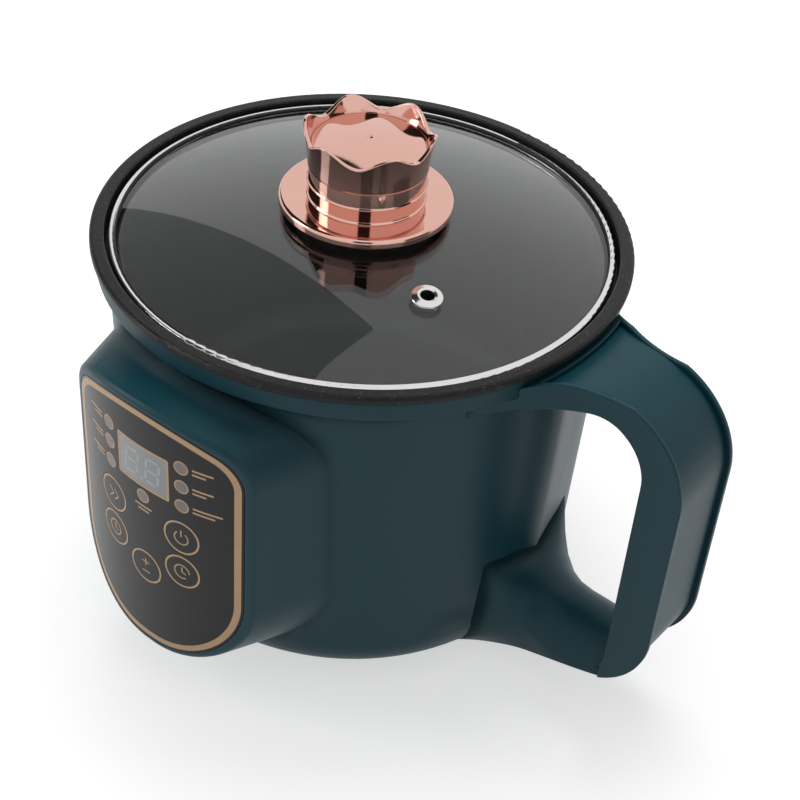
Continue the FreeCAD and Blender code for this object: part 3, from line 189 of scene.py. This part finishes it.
class Value:
    """A socket that can be written in sums: an expression adds its Math nodes."""

    def __init__(self, finish, socket):
        self.finish = finish
        self.socket = socket

    def _math(self, operation, first, second=0.0, clamp=False):
        settings = {"operation": operation, "use_clamp": clamp}
        return self.finish.node("ShaderNodeMath", settings, {0: first, 1: second})

    def __add__(self, other):
        return self._math("ADD", self, other)

    def __radd__(self, other):
        return self._math("ADD", other, self)

    def __sub__(self, other):
        return self._math("SUBTRACT", self, other)

    def __rsub__(self, other):
        return self._math("SUBTRACT", other, self)

    def __mul__(self, other):
        return self._math("MULTIPLY", self, other)

    def __rmul__(self, other):
        return self._math("MULTIPLY", other, self)

    def clamped(self):
        return self._math("ADD", self, 0.0, True)

    def band(self, low, high):
        """Rises smoothly from 0 to 1 between two values."""
        return self.finish.node("ShaderNodeMapRange", {"interpolation_type": "SMOOTHSTEP"},
                                {"Value": self, "From Min": low, "From Max": high})


class Finish:
    """A node material around one Principled shader, addressed by its sockets' names."""

    def __init__(self, name, colour, roughness, **fixed):
        self.material = bpy.data.materials.new(name)
        self.material.use_nodes = True
        self.tree = self.material.node_tree
        self.shader = self.tree.nodes["Principled BSDF"]
        self.set("Base Color", (*colour, 1.0))
        self.set("Roughness", roughness)
        for socket, value in fixed.items():
            self.set(socket.replace("_", " "), value)
        self.material.diffuse_color = (*colour, 1.0)

    def _feed(self, socket, value):
        if isinstance(value, Value):
            self.tree.links.new(value.socket, socket)
        else:
            socket.default_value = value

    def set(self, name, value):
        self._feed(self.shader.inputs[name], value)

    def node(self, kind, settings=None, inputs=None, output=0):
        """Adds a node, its settings first, and returns the wanted output."""
        made = self.tree.nodes.new(kind)
        for key, value in (settings or {}).items():
            if key == "stops":
                while len(made.color_ramp.elements) < len(value):
                    made.color_ramp.elements.new(1.0)
                for element, (place, colour) in zip(made.color_ramp.elements, value):
                    element.position = place
                    element.color = colour
            else:
                setattr(made, key, value)
        for key, value in (inputs or {}).items():
            self._feed(made.inputs[key], value)
        return Value(self, made.outputs[output])

    def place(self):
        return self.node("ShaderNodeTexCoord", output="Object")

    def stretched(self, scale):
        return self.node("ShaderNodeVectorMath", {"operation": "MULTIPLY"}, {0: self.place(), 1: scale})

    def noise(self, scale, detail=2.0, vector=None):
        return self.node("ShaderNodeTexNoise", {"noise_dimensions": "3D"},
                         {"Vector": vector or self.place(), "Scale": scale, "Detail": detail})

    def cells(self, scale, feature="F1"):
        return self.node("ShaderNodeTexVoronoi", {"feature": feature},
                         {"Vector": self.place(), "Scale": scale}, "Distance")

    def axis(self, name):
        return self.node("ShaderNodeSeparateXYZ", inputs={0: self.place()}, output=name)

    def mixed(self, factor, first, second):
        return self.node("ShaderNodeMix", {"data_type": "RGBA"},
                         {0: factor, 6: first, 7: second}, 2)

    def soft_normal(self, radius):
        return self.node("ShaderNodeBevel", {"samples": 8}, {"Radius": radius})

    def bump(self, height, depth, normal=None):
        inputs = {"Strength": 1.0, "Distance": depth, "Height": height}
        if normal:
            inputs["Normal"] = normal
        self.set("Normal", self.node("ShaderNodeBump", None, inputs))

    def vary(self, spread, scale, grain, base):
        """Uneven roughness: broad handling marks plus a fine grain."""
        broad = self.noise(scale, 3.0)
        fine = self.noise(grain, 1.0)
        self.set("Roughness", (broad - 0.5) * spread + (fine - 0.5) * spread + base)

    def tint(self, colour, amount, scale):
        """Slight lightness variation of the colour."""
        darker = tuple(part * (1 - amount) for part in colour)
        lighter = tuple(min(1.0, part * (1 + amount)) for part in colour)
        self.set("Base Color", self.mixed(self.noise(scale, 4.0), (*darker, 1.0), (*lighter, 1.0)))


def dress(finish, *names):
    """Gives CAD nodes a finish."""
    for name in names:
        mesh = NODES[name].data
        mesh.materials.clear()
        mesh.materials.append(finish.material)


def moulded(name, colour, roughness, grain=0.00002, soft=0.0003):
    """Moulded plastic with a fine spark-eroded texture."""
    finish = Finish(name, colour, roughness, IOR=1.47)
    finish.tint(colour, 0.06, 60.0)
    finish.vary(0.12, 30.0, 900.0, roughness)
    finish.bump(finish.noise(2600.0, 2.0), grain, finish.soft_normal(soft))
    return finish


def metal(name, colour, roughness, grain=0.000004, scale=(200.0, 200.0, 200.0)):
    finish = Finish(name, colour, roughness, Metallic=1.0)
    finish.tint(colour, 0.04, 40.0)
    broad = finish.noise(25.0, 3.0)
    finish.set("Roughness", (broad - 0.5) * (roughness * 0.6) + roughness)
    finish.bump(finish.noise(6.0, 3.0, finish.stretched(scale)), grain)
    return finish


class Print:
    """Printed lines on the curved panel, gathered into one thin piece."""

    def __init__(self, origin=(0.0, 0.0)):
        self.origin = origin
        self.vertices = []
        self.faces = []

    def spot(self, along, below, lift):
        """Point on the panel from an arc length along it and a depth below the rim, in metres."""
        angle = (self.origin[0] + along) / PANEL_RADIUS
        reach = PANEL_RADIUS + lift
        return Vector((math.sin(angle) * reach, -math.cos(angle) * reach - PANEL_AXIS,
                       RIM_HEIGHT - self.origin[1] - below)) * MM

    def strip(self, side, other, closed=False):
        """Band between two rows of points, with a little thickness."""
        base = len(self.vertices)
        count = len(side)
        for a, b in zip(side, other):
            self.vertices += [self.spot(*a, PRINT_LIFT), self.spot(*b, PRINT_LIFT),
                              self.spot(*b, -PRINT_SINK), self.spot(*a, -PRINT_SINK)]
        for index in range(count if closed else count - 1):
            here = base + 4 * index
            there = base + 4 * ((index + 1) % count)
            for corner in range(4):
                after = (corner + 1) % 4
                self.faces.append((here + corner, here + after, there + after, there + corner))
        if not closed:
            last = base + 4 * (count - 1)
            self.faces.append((base + 3, base + 2, base + 1, base))
            self.faces.append((last, last + 1, last + 2, last + 3))

    def arc(self, centre, radius, width, start=0.0, end=360.0):
        closed = end - start >= 360.0
        steps = max(8, int((end - start) / ARC_STEP))
        angles = [math.radians(start + (end - start) * index / steps)
                  for index in range(steps if closed else steps + 1)]
        inner = radius - width

        def row(reach):
            return [(centre[0] + reach * math.cos(a), centre[1] - reach * math.sin(a)) for a in angles]
        self.strip(row(radius), row(inner), closed)

    def bar(self, start, end, width, taper=0.0):
        """Straight bar with ends that may narrow over a length."""
        dx = end[0] - start[0]
        dy = end[1] - start[1]
        length = math.hypot(dx, dy)
        ux, uy = dx / length, dy / length
        narrowing = max(taper, SHORTEST_TAPER)
        pieces = max(2, math.ceil(length / PRINT_STEP))
        stations = [(0.0, BAR_TIP), (narrowing, 1.0)]
        stations += [(narrowing + (length - 2 * narrowing) * index / pieces, 1.0)
                     for index in range(1, pieces)]
        stations += [(length - narrowing, 1.0), (length, BAR_TIP)]
        side = []
        other = []
        for distance, share in stations:
            x = start[0] + ux * distance
            y = start[1] + uy * distance
            side.append((x - uy * width * share / 2, y + ux * width * share / 2))
            other.append((x + uy * width * share / 2, y - ux * width * share / 2))
        self.strip(side, other)

    def frame(self, width, height, line):
        rows = []
        for inset in (0.0, line):
            half_x = width / 2 - inset
            half_y = height / 2 - inset
            radius = max(FRAME_CORNER - inset, FRAME_CORNER_LEAST)
            row = []
            for cx, cy, start in ((1, 1, 0), (-1, 1, 90), (-1, -1, 180), (1, -1, 270)):
                for step in range(FRAME_CORNER_STEPS + 1):
                    angle = math.radians(start + 90.0 * step / FRAME_CORNER_STEPS)
                    row.append((cx * (half_x - radius) + radius * math.cos(angle),
                                cy * (half_y - radius) + radius * math.sin(angle)))
            dense = []
            for index, here in enumerate(row):
                there = row[(index + 1) % len(row)]
                dense += [(here[0] + (there[0] - here[0]) * k / SIDE_STEPS,
                           here[1] + (there[1] - here[1]) * k / SIDE_STEPS) for k in range(SIDE_STEPS)]
            rows.append(dense)
        self.strip(rows[0], rows[1], True)

    def piece(self, name, body, slot, finish):
        mesh = bpy.data.meshes.new(name)
        mesh.from_pydata(self.vertices, [], self.faces)
        mesh.validate()
        made = bpy.data.objects.new(name, mesh)
        bpy.context.scene.collection.objects.link(made)
        mesh.materials.append(finish.material)
        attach(made, body)
        return made


def shield_row(offset):
    """The panel's shield outline moved inwards, as (along, below) pairs."""
    half = HALF_WIDTH - offset
    big = TOP_ARC - offset
    small = TOP_CORNER - offset
    low = LOW_ARC - offset
    top = TOP_BELOW + offset
    big_z = top + big
    small_x = half - small
    small_z = big_z - math.sqrt((big - small) ** 2 - small_x ** 2)
    lean = math.asin(small_x / (big - small))
    low_z = BOTTOM_BELOW - offset - low
    row = []

    def sweep(centre, radius, start, end, steps):
        for step in range(steps):
            angle = start + (end - start) * step / steps
            row.append((centre[0] + radius * math.sin(angle), centre[1] - radius * math.cos(angle)))

    sweep((0, big_z), big, -lean, lean, ARC_POINTS)
    sweep((small_x, small_z), small, lean, math.pi / 2, CORNER_POINTS)
    for step in range(SIDE_POINTS):
        row.append((half, small_z + (low_z - small_z) * step / SIDE_POINTS))
    sweep((half - low, low_z), low, math.pi / 2, math.pi, ARC_POINTS)
    for step in range(LOW_FLAT_POINTS):
        row.append(((half - low) * (1 - 2 * step / LOW_FLAT_POINTS), low_z + low))
    sweep((low - half, low_z), low, math.pi, math.pi * 1.5, ARC_POINTS)
    for step in range(SIDE_POINTS):
        row.append((-half, low_z + (small_z - low_z) * step / SIDE_POINTS))
    sweep((-small_x, small_z), small, math.pi * 1.5, math.pi * 2 - lean, CORNER_POINTS)
    return [(PANEL_RADIUS * math.asin(x / PANEL_RADIUS), below) for x, below in row]


def housing_finish(look, name):
    """Satin teal plastic; the seams of pod and handle with the body are shaded as wide blends."""
    teal = tuple(look.teal)
    finish = Finish(name, teal, look.roughness, IOR=1.46, Specular_IOR_Level=0.27)
    finish.tint(teal, 0.05, 12.0)
    finish.vary(0.06, 14.0, 700.0, look.roughness)
    edge = finish.soft_normal(look.edge_softness)
    blend = finish.soft_normal(look.blend_softness)
    x = finish.axis("X")
    y = finish.axis("Y")
    reach = finish.node("ShaderNodeMath", {"operation": "SQRT"}, {0: x * x + y * y})
    near_wall = 1.0 - reach.band(*POD_REACH)
    in_front = 1.0 - y.band(*POD_FRONT)
    under_rim = 1.0 - finish.axis("Z").band(*POD_TOP)
    at_pod = near_wall * in_front * under_rim
    height = finish.axis("Z")
    close_in = 1.0 - reach.band(*HANDLE_REACH)
    below_top = 1.0 - height.band(*HANDLE_TOP)
    at_handle = x.band(*HANDLE_SIDE) * close_in * below_top
    mask = (at_pod + at_handle).clamped()
    normal = finish.node("ShaderNodeMix", {"data_type": "VECTOR"}, {0: mask, 4: edge, 5: blend}, 1)
    finish.bump(finish.noise(3000.0, 2.0), 0.000012, normal)
    return finish


def black_plastic():
    return moulded("black moulded plastic", (0.012, 0.012, 0.013), 0.5)


class HOTPOT_OT_housing(bpy.types.Operator):
    """Finishes the housing, its handle cover and the base"""
    bl_idname = "hotpot.housing"
    bl_label = "Housing"

    def execute(self, context):
        look = context.scene.hotpot_housing
        finish = housing_finish(look, "satin teal plastic")
        dress(finish, "housing", "handle_core", "handle_cover")
        dress(black_plastic(), "base_cover", "power_inlet")
        rubber = moulded("foot rubber", (0.014, 0.014, 0.014), 0.75, 0.00003)
        dress(rubber, "rubber_feet")
        dress(metal("plated screw steel", (0.62, 0.62, 0.63), 0.28), "base_screws", "inlet_screws")
        dress(metal("inlet brass", (0.72, 0.55, 0.26), 0.22), "inlet_pins")
        return {"FINISHED"}


class HOTPOT_OT_panel(bpy.types.Operator):
    """Finishes the film, window and lamps, and prints the panel's lines"""
    bl_idname = "hotpot.panel"
    bl_label = "Panel"

    def execute(self, context):
        look = context.scene.hotpot_panel
        dress(film_finish(look), "panel_film")
        window = Finish("display window", WINDOW_GREY, 0.12, IOR=1.5, Coat_Weight=0.5)
        window.tint(WINDOW_GREY, 0.10, 90.0)
        window.vary(0.05, 60.0, 900.0, 0.14)
        dress(window, "display_window")
        lens = Finish("lamp lens", LENS_GREY, 0.3, IOR=1.5)
        lens.tint(LENS_GREY, 0.12, 400.0)
        lens.vary(0.10, 200.0, 1200.0, 0.3)
        dress(lens, "lamp_lenses")
        ink = line_ink(look)
        border = Print()
        border.strip(shield_row(0.0), shield_row(look.border / MM), True)
        border.piece("panel_border", "base", "rose_plating", ink)
        frame_line = Print(WINDOW_CENTRE)
        width, height = (side + 2 * WINDOW_MARGIN for side in WINDOW_SIZE)
        frame_line.frame(width, height, WINDOW_LINE)
        frame_line.piece("display_frame", "base", "rose_plating", ink)
        rings = Print()
        for along, below in LAMPS:
            rings.arc((along, below), LAMP_RING, LAMP_RING_WIDTH)
        rings.piece("lamp_rings", "base", "rose_plating", ink)
        label_marks().piece("label_marks", "base", "rose_plating", ink)
        segments = Finish("display segment", SEGMENT_GREY, 0.25, IOR=1.5)
        segments.tint(SEGMENT_GREY, 0.12, 300.0)
        display_digits().piece("display_digits", "base", "smoked_window", segments)
        return {"FINISHED"}


def film_finish(look):
    """Glossy charcoal film with a faint sparkle under the surface."""
    film = tuple(look.film)
    finish = Finish("panel film", film, 0.22, IOR=1.5, Specular_IOR_Level=0.22)
    specks = 1.0 - finish.cells(2600.0).band(0.08, 0.22)
    brighter = tuple(part * 1.9 for part in film)
    finish.set("Base Color", finish.mixed(specks * 0.7, (*film, 1.0), (*brighter, 1.0)))
    finish.vary(0.05, 20.0, 1500.0, 0.22)
    finish.bump(finish.noise(35.0, 1.0), 0.00002, finish.soft_normal(0.0003))
    return finish


def line_ink(look):
    line = tuple(look.line)
    finish = Finish("printed gold line", line, 0.38, Metallic=0.35)
    finish.tint(line, 0.10, 500.0)
    finish.vary(0.10, 200.0, 2500.0, 0.38)
    return finish


def label_marks():
    """Plain dashes where the lamps' labels go."""
    marks = Print()
    half_gap = DASH_GAP / 2
    for along, below in LAMPS[:3]:
        near = along - DASH_START
        for row, length in zip((below - half_gap, below + half_gap), LEFT_DASHES):
            marks.bar((near - length, row), (near, row), DASH)
    for (along, below), length in zip(LAMPS[3:6], RIGHT_DASHES):
        near = along + DASH_START
        marks.bar((near, below - half_gap), (near + length, below - half_gap), DASH)
        marks.bar((near, below + half_gap), (near + length - RIGHT_SHORTER, below + half_gap), DASH)
    for half, row in LOW_DASHES:
        marks.bar((-half, row), (half, row), DASH)
    return marks


def display_digits():
    """Two unlit figures of seven segments and the point between them."""
    digits = Print(WINDOW_CENTRE)
    half = DIGIT_HALF_WIDTH
    tall = DIGIT_HALF_HEIGHT
    gap = SEGMENT_GAP
    for centre in DIGIT_CENTRES:
        def at(x, y, centre=centre):
            return (centre + x - DIGIT_LEAN * y, y)
        for y in (-tall, 0.0, tall):
            digits.bar(at(-half + gap, y), at(half - gap, y), SEGMENT, SEGMENT_TAPER)
        for x in (-half, half):
            digits.bar(at(x, -tall + gap), at(x, -gap), SEGMENT, SEGMENT_TAPER)
            digits.bar(at(x, gap), at(x, tall - gap), SEGMENT, SEGMENT_TAPER)
    digits.arc((0.0, tall), POINT_RADIUS, POINT_RING)
    return digits


class HOTPOT_OT_keys(bpy.types.Operator):
    """Finishes the keys, with a ring and a plain symbol on each"""
    bl_idname = "hotpot.keys"
    bl_label = "Keys"

    def execute(self, context):
        look = context.scene.hotpot_panel
        film = film_finish(look)
        ink = line_ink(look)
        for number, place in enumerate(KEYS, 1):
            key = "key_%d" % number
            dress(film, key)
            lines = Print(place)
            lines.arc((0.0, 0.0), KEY_RING, look.ring / MM)
            key_symbol(lines, number)
            lines.piece(key + "_print", key, "rose_plating", ink)
        return {"FINISHED"}


def key_symbol(lines, number):
    """Generic symbols: step, clock, power, timer, more and less."""
    pen = SYMBOL_PEN
    if number == 1:
        for shift in (-2.4, 0.6):
            lines.bar((shift, -2.4), (shift + 2.4, 0.0), pen)
            lines.bar((shift + 2.4, 0.0), (shift, 2.4), pen)
    elif number in (2, 4):
        lines.arc((0.0, 0.0), 3.4, pen, 0.0, 360.0 if number == 2 else 300.0)
        lines.bar((0.0, 0.2), (0.0, -2.2), pen)
        lines.bar((0.0, 0.0), (1.7, 0.9), pen)
    elif number == 3:
        lines.arc((0.0, 0.2), 3.1, pen, -235.0, 55.0)
        lines.bar((0.0, -3.6), (0.0, -0.4), pen)
    else:
        lines.bar((-1.8, -2.2), (1.8, -2.2), pen)
        lines.bar((0.0, -4.0), (0.0, -0.4), pen)
        lines.bar((-1.8, 2.6), (1.8, 2.6), pen)


class HOTPOT_OT_pot(bpy.types.Operator):
    """Finishes the coated pot and its gasket"""
    bl_idname = "hotpot.pot"
    bl_label = "Pot"

    def execute(self, context):
        coating = tuple(context.scene.hotpot_lid.coating)
        finish = Finish("speckled non-stick coating", coating, 0.34, IOR=1.5, Specular_IOR_Level=0.16)
        grains = 1.0 - finish.cells(1100.0).band(0.10, 0.24)
        chosen = finish.noise(420.0, 0.0).band(0.55, 0.62)
        specks = grains * chosen
        finish.set("Base Color", finish.mixed(specks, (*coating, 1.0), SPECK_GREY))
        finish.set("Roughness", (finish.noise(700.0, 2.0) - 0.5) * 0.25 + 0.36)
        finish.bump(finish.noise(1500.0, 3.0) + specks * 0.6, 0.00006, finish.soft_normal(0.0006))
        dress(finish, "inner_pot")
        dress(moulded("gasket rubber", (0.02, 0.02, 0.02), 0.7), "pot_gasket")
        return {"FINISHED"}


class HOTPOT_OT_lid(bpy.types.Operator):
    """Finishes the glass lid, its band and steam eyelet"""
    bl_idname = "hotpot.lid"
    bl_label = "Lid"

    def execute(self, context):
        glass = Finish("tempered glass", (0.93, 0.96, 0.955), 0.0, IOR=1.48, Transmission_Weight=1.0,
                       Specular_IOR_Level=0.25)
        smear = glass.noise(7.0, 3.0).band(0.50, 0.75)
        glass.set("Roughness", smear * 0.02)
        dress(glass, "lid_glass")
        dress(metal("polished steel band", (0.72, 0.71, 0.69), 0.16),
              "lid_band", "steam_eyelet", "knob_screw", "screw_washer")
        dress(moulded("lid gasket", (0.02, 0.02, 0.021), 0.5), "lid_gasket")
        dress(moulded("clear silicone", (0.45, 0.45, 0.44), 0.45), "knob_seal", "screw_seal")
        return {"FINISHED"}


class HOTPOT_OT_knob(bpy.types.Operator):
    """Finishes the plated crown knob"""
    bl_idname = "hotpot.knob"
    bl_label = "Knob"

    def execute(self, context):
        plating = tuple(context.scene.hotpot_lid.plating)
        finish = Finish("rose gold plating", plating, 0.07, Metallic=1.0)
        finish.tint(plating, 0.03, 30.0)
        finish.set("Roughness", (finish.noise(60.0, 3.0) - 0.5) * 0.05 + 0.075)
        ripple = finish.noise(45.0, 1.0) + finish.noise(900.0, 1.0) * 0.03
        finish.bump(ripple, 0.00009, finish.soft_normal(0.0005))
        dress(finish, "knob_plate", "knob_crown", "knob_cap")
        return {"FINISHED"}


class HOTPOT_OT_inside(bpy.types.Operator):
    """Finishes the heater, boards and other inner pieces"""
    bl_idname = "hotpot.inside"
    bl_label = "Inside"

    def execute(self, context):
        dress(metal("cast aluminium", (0.52, 0.52, 0.52), 0.42, 0.00003), "heating_plate", "sensor_cap")
        dress(metal("heat tinted steel", (0.36, 0.31, 0.27), 0.35), "heating_element")
        dress(metal("rolled sheet steel", (0.55, 0.55, 0.55), 0.3, 0.000004, (20.0, 400.0, 400.0)),
              "heat_shield", "fuse_clip")
        dress(metal("zinc plated steel", (0.60, 0.61, 0.63), 0.3),
              "board_screws", "heater_studs", "stud_nuts", "stud_spacers", "shield_screws",
              "power_board_screws")
        board = Finish("solder mask", BOARD_GREEN, 0.3, IOR=1.5)
        tracks = board.cells(240.0, "F2").band(0.45, 0.5)
        board.set("Base Color", board.mixed(tracks, TRACK_LOW, TRACK_HIGH))
        board.vary(0.1, 40.0, 800.0, 0.3)
        dress(board, "control_board", "power_board")
        dress(black_plastic(), "key_switches", "capacitors")
        dress(moulded("white plastic", (0.72, 0.71, 0.68), 0.45),
              "sensor_holder", "thermal_fuse", "terminal_block")
        dress(moulded("grey plastic", (0.30, 0.31, 0.31), 0.45), "display_module")
        dress(moulded("lamp resin", (0.5, 0.48, 0.45), 0.3), "indicator_lamps")
        dress(moulded("relay case", (0.04, 0.12, 0.35), 0.4), "relay")
        dress(moulded("winding tape", (0.62, 0.45, 0.08), 0.5), "transformer")
        return {"FINISHED"}


def light_path(finish):
    """1 where the camera sees a surface directly, in a mirror or through glass."""
    seen = finish.node("ShaderNodeLightPath", output="Is Camera Ray")
    glossy = Value(finish, seen.socket.node.outputs["Is Glossy Ray"])
    through = Value(finish, seen.socket.node.outputs["Is Transmission Ray"])
    return (seen + glossy + through).clamped()


def plane(name, corners, material):
    mesh = bpy.data.meshes.new(name)
    mesh.from_pydata(corners, [], [tuple(range(len(corners)))])
    made = bpy.data.objects.new(name, mesh)
    mesh.materials.append(material)
    bpy.context.scene.collection.objects.link(made)
    return made


def softbox(name, aim, place, width, height, power):
    lamp = bpy.data.lights.new(name, "AREA")
    lamp.shape = "RECTANGLE"
    lamp.size = width
    lamp.size_y = height
    lamp.energy = power
    made = bpy.data.objects.new(name, lamp)
    made.location = place
    made.rotation_euler = (Vector(aim) - Vector(place)).to_track_quat("-Z", "Y").to_euler()
    bpy.context.scene.collection.objects.link(made)
    return made


def dark_card(name, aim, place, width, height):
    """A card that only shows in reflections, as a studio's black flags do."""
    finish = Finish(name, (0.012, 0.012, 0.012), 0.9)
    turn = (Vector(aim) - Vector(place)).to_track_quat("-Z", "Y")
    corners = [Vector(place) + turn @ Vector((x * width / 2, y * height / 2, 0))
               for x, y in ((-1, -1), (1, -1), (1, 1), (-1, 1))]
    card = plane(name, corners, finish.material)
    card.visible_camera = False
    card.visible_diffuse = False
    card.visible_shadow = False
    card.visible_transmission = False
    return card


def set_world(scene):
    """A white surrounding that the camera, mirrors and glass see brighter than it lights the pot."""
    world = bpy.data.worlds.new("studio")
    scene.world = world
    world.use_nodes = True
    nodes = world.node_tree.nodes
    links = world.node_tree.links
    back = nodes["Background"]
    back.inputs["Color"].default_value = (1.0, 1.0, 1.0, 1.0)
    path = nodes.new("ShaderNodeLightPath")
    seen = nodes.new("ShaderNodeMath")
    seen.operation = "MAXIMUM"
    links.new(path.outputs["Is Camera Ray"], seen.inputs[0])
    links.new(path.outputs["Is Glossy Ray"], seen.inputs[1])
    through = nodes.new("ShaderNodeMath")
    through.operation = "MAXIMUM"
    links.new(seen.outputs[0], through.inputs[0])
    links.new(path.outputs["Is Transmission Ray"], through.inputs[1])
    level = nodes.new("ShaderNodeMapRange")
    level.inputs["To Min"].default_value = WORLD_ON_OBJECT
    level.inputs["To Max"].default_value = WORLD_SEEN
    links.new(through.outputs[0], level.inputs["Value"])
    links.new(level.outputs["Result"], back.inputs["Strength"])


def set_camera(scene):
    camera = bpy.data.cameras.new("camera")
    camera.sensor_width = CAMERA_SENSOR
    camera.lens = CAMERA_LENS
    camera.clip_start = CAMERA_NEAREST
    viewer = bpy.data.objects.new("camera", camera)
    viewer.location = CAMERA_PLACE
    viewer.rotation_euler = tuple(math.radians(turn) for turn in CAMERA_TURN)
    scene.collection.objects.link(viewer)
    scene.camera = viewer


class HOTPOT_OT_stage(bpy.types.Operator):
    """Sets the floor, the lights and the camera"""
    bl_idname = "hotpot.stage"
    bl_label = "Stage"

    def execute(self, context):
        scene = context.scene
        look = scene.hotpot_stage
        reach = look.reach
        floor = Finish("floor", tuple(look.floor), 0.9)
        floor.tint(tuple(look.floor), 0.005, 3.0)
        floor.set("Emission Color", (1.0, 1.0, 1.0, 1.0))
        floor.set("Emission Strength", light_path(floor) * FLOOR_GLOW)
        plane("floor", [(-reach, -reach, 0.0), (reach, -reach, 0.0),
                        (reach, reach, 0.0), (-reach, reach, 0.0)], floor.material)
        set_world(scene)
        overhead = softbox("overhead softbox", POT_MIDDLE, *OVERHEAD_LAMP)
        overhead.visible_glossy = False
        overhead.visible_transmission = False
        softbox("left softbox", POT_MIDDLE, *LEFT_LAMP)
        dark_card("front card", LID_MIDDLE, *FRONT_CARD)
        dark_card("upper card", LID_MIDDLE, *UPPER_CARD)
        dark_card("side card", POT_MIDDLE, *SIDE_CARD)
        set_camera(scene)
        scene.view_settings.view_transform = "Standard"
        return {"FINISHED"}


STEPS = ("housing", "panel", "keys", "pot", "lid", "knob", "inside", "stage")


class HOTPOT_PT_panel(bpy.types.Panel):
    """Lists the steps that dress the hot pot"""
    bl_idname = "HOTPOT_PT_panel"
    bl_label = "Hot Pot"
    bl_space_type = "VIEW_3D"
    bl_region_type = "UI"
    bl_category = "Hot Pot"

    def draw(self, context):
        for group in ("hotpot_housing", "hotpot_panel", "hotpot_lid", "hotpot_stage"):
            look = getattr(context.scene, group)
            for field in look.bl_rna.properties:
                if field.identifier not in ("rna_type", "name"):
                    self.layout.prop(look, field.identifier)
        for step in STEPS:
            self.layout.operator("hotpot." + step)


CLASSES = (HousingLook, PanelLook, LidLook, StageLook, HOTPOT_OT_housing, HOTPOT_OT_panel, HOTPOT_OT_keys,
           HOTPOT_OT_pot, HOTPOT_OT_lid, HOTPOT_OT_knob, HOTPOT_OT_inside, HOTPOT_OT_stage, HOTPOT_PT_panel)
LOOKS = {"hotpot_housing": HousingLook, "hotpot_panel": PanelLook, "hotpot_lid": LidLook,
         "hotpot_stage": StageLook}


def register():
    for kind in CLASSES:
        bpy.utils.register_class(kind)
    for name, kind in LOOKS.items():
        setattr(bpy.types.Scene, name, bpy.props.PointerProperty(type=kind))


def unregister():
    for name in LOOKS:
        delattr(bpy.types.Scene, name)
    for kind in reversed(CLASSES):
        bpy.utils.unregister_class(kind)


def main():
    register()
    for step in STEPS:
        getattr(bpy.ops.hotpot, step)()


if __name__ == "__main__":
    main()
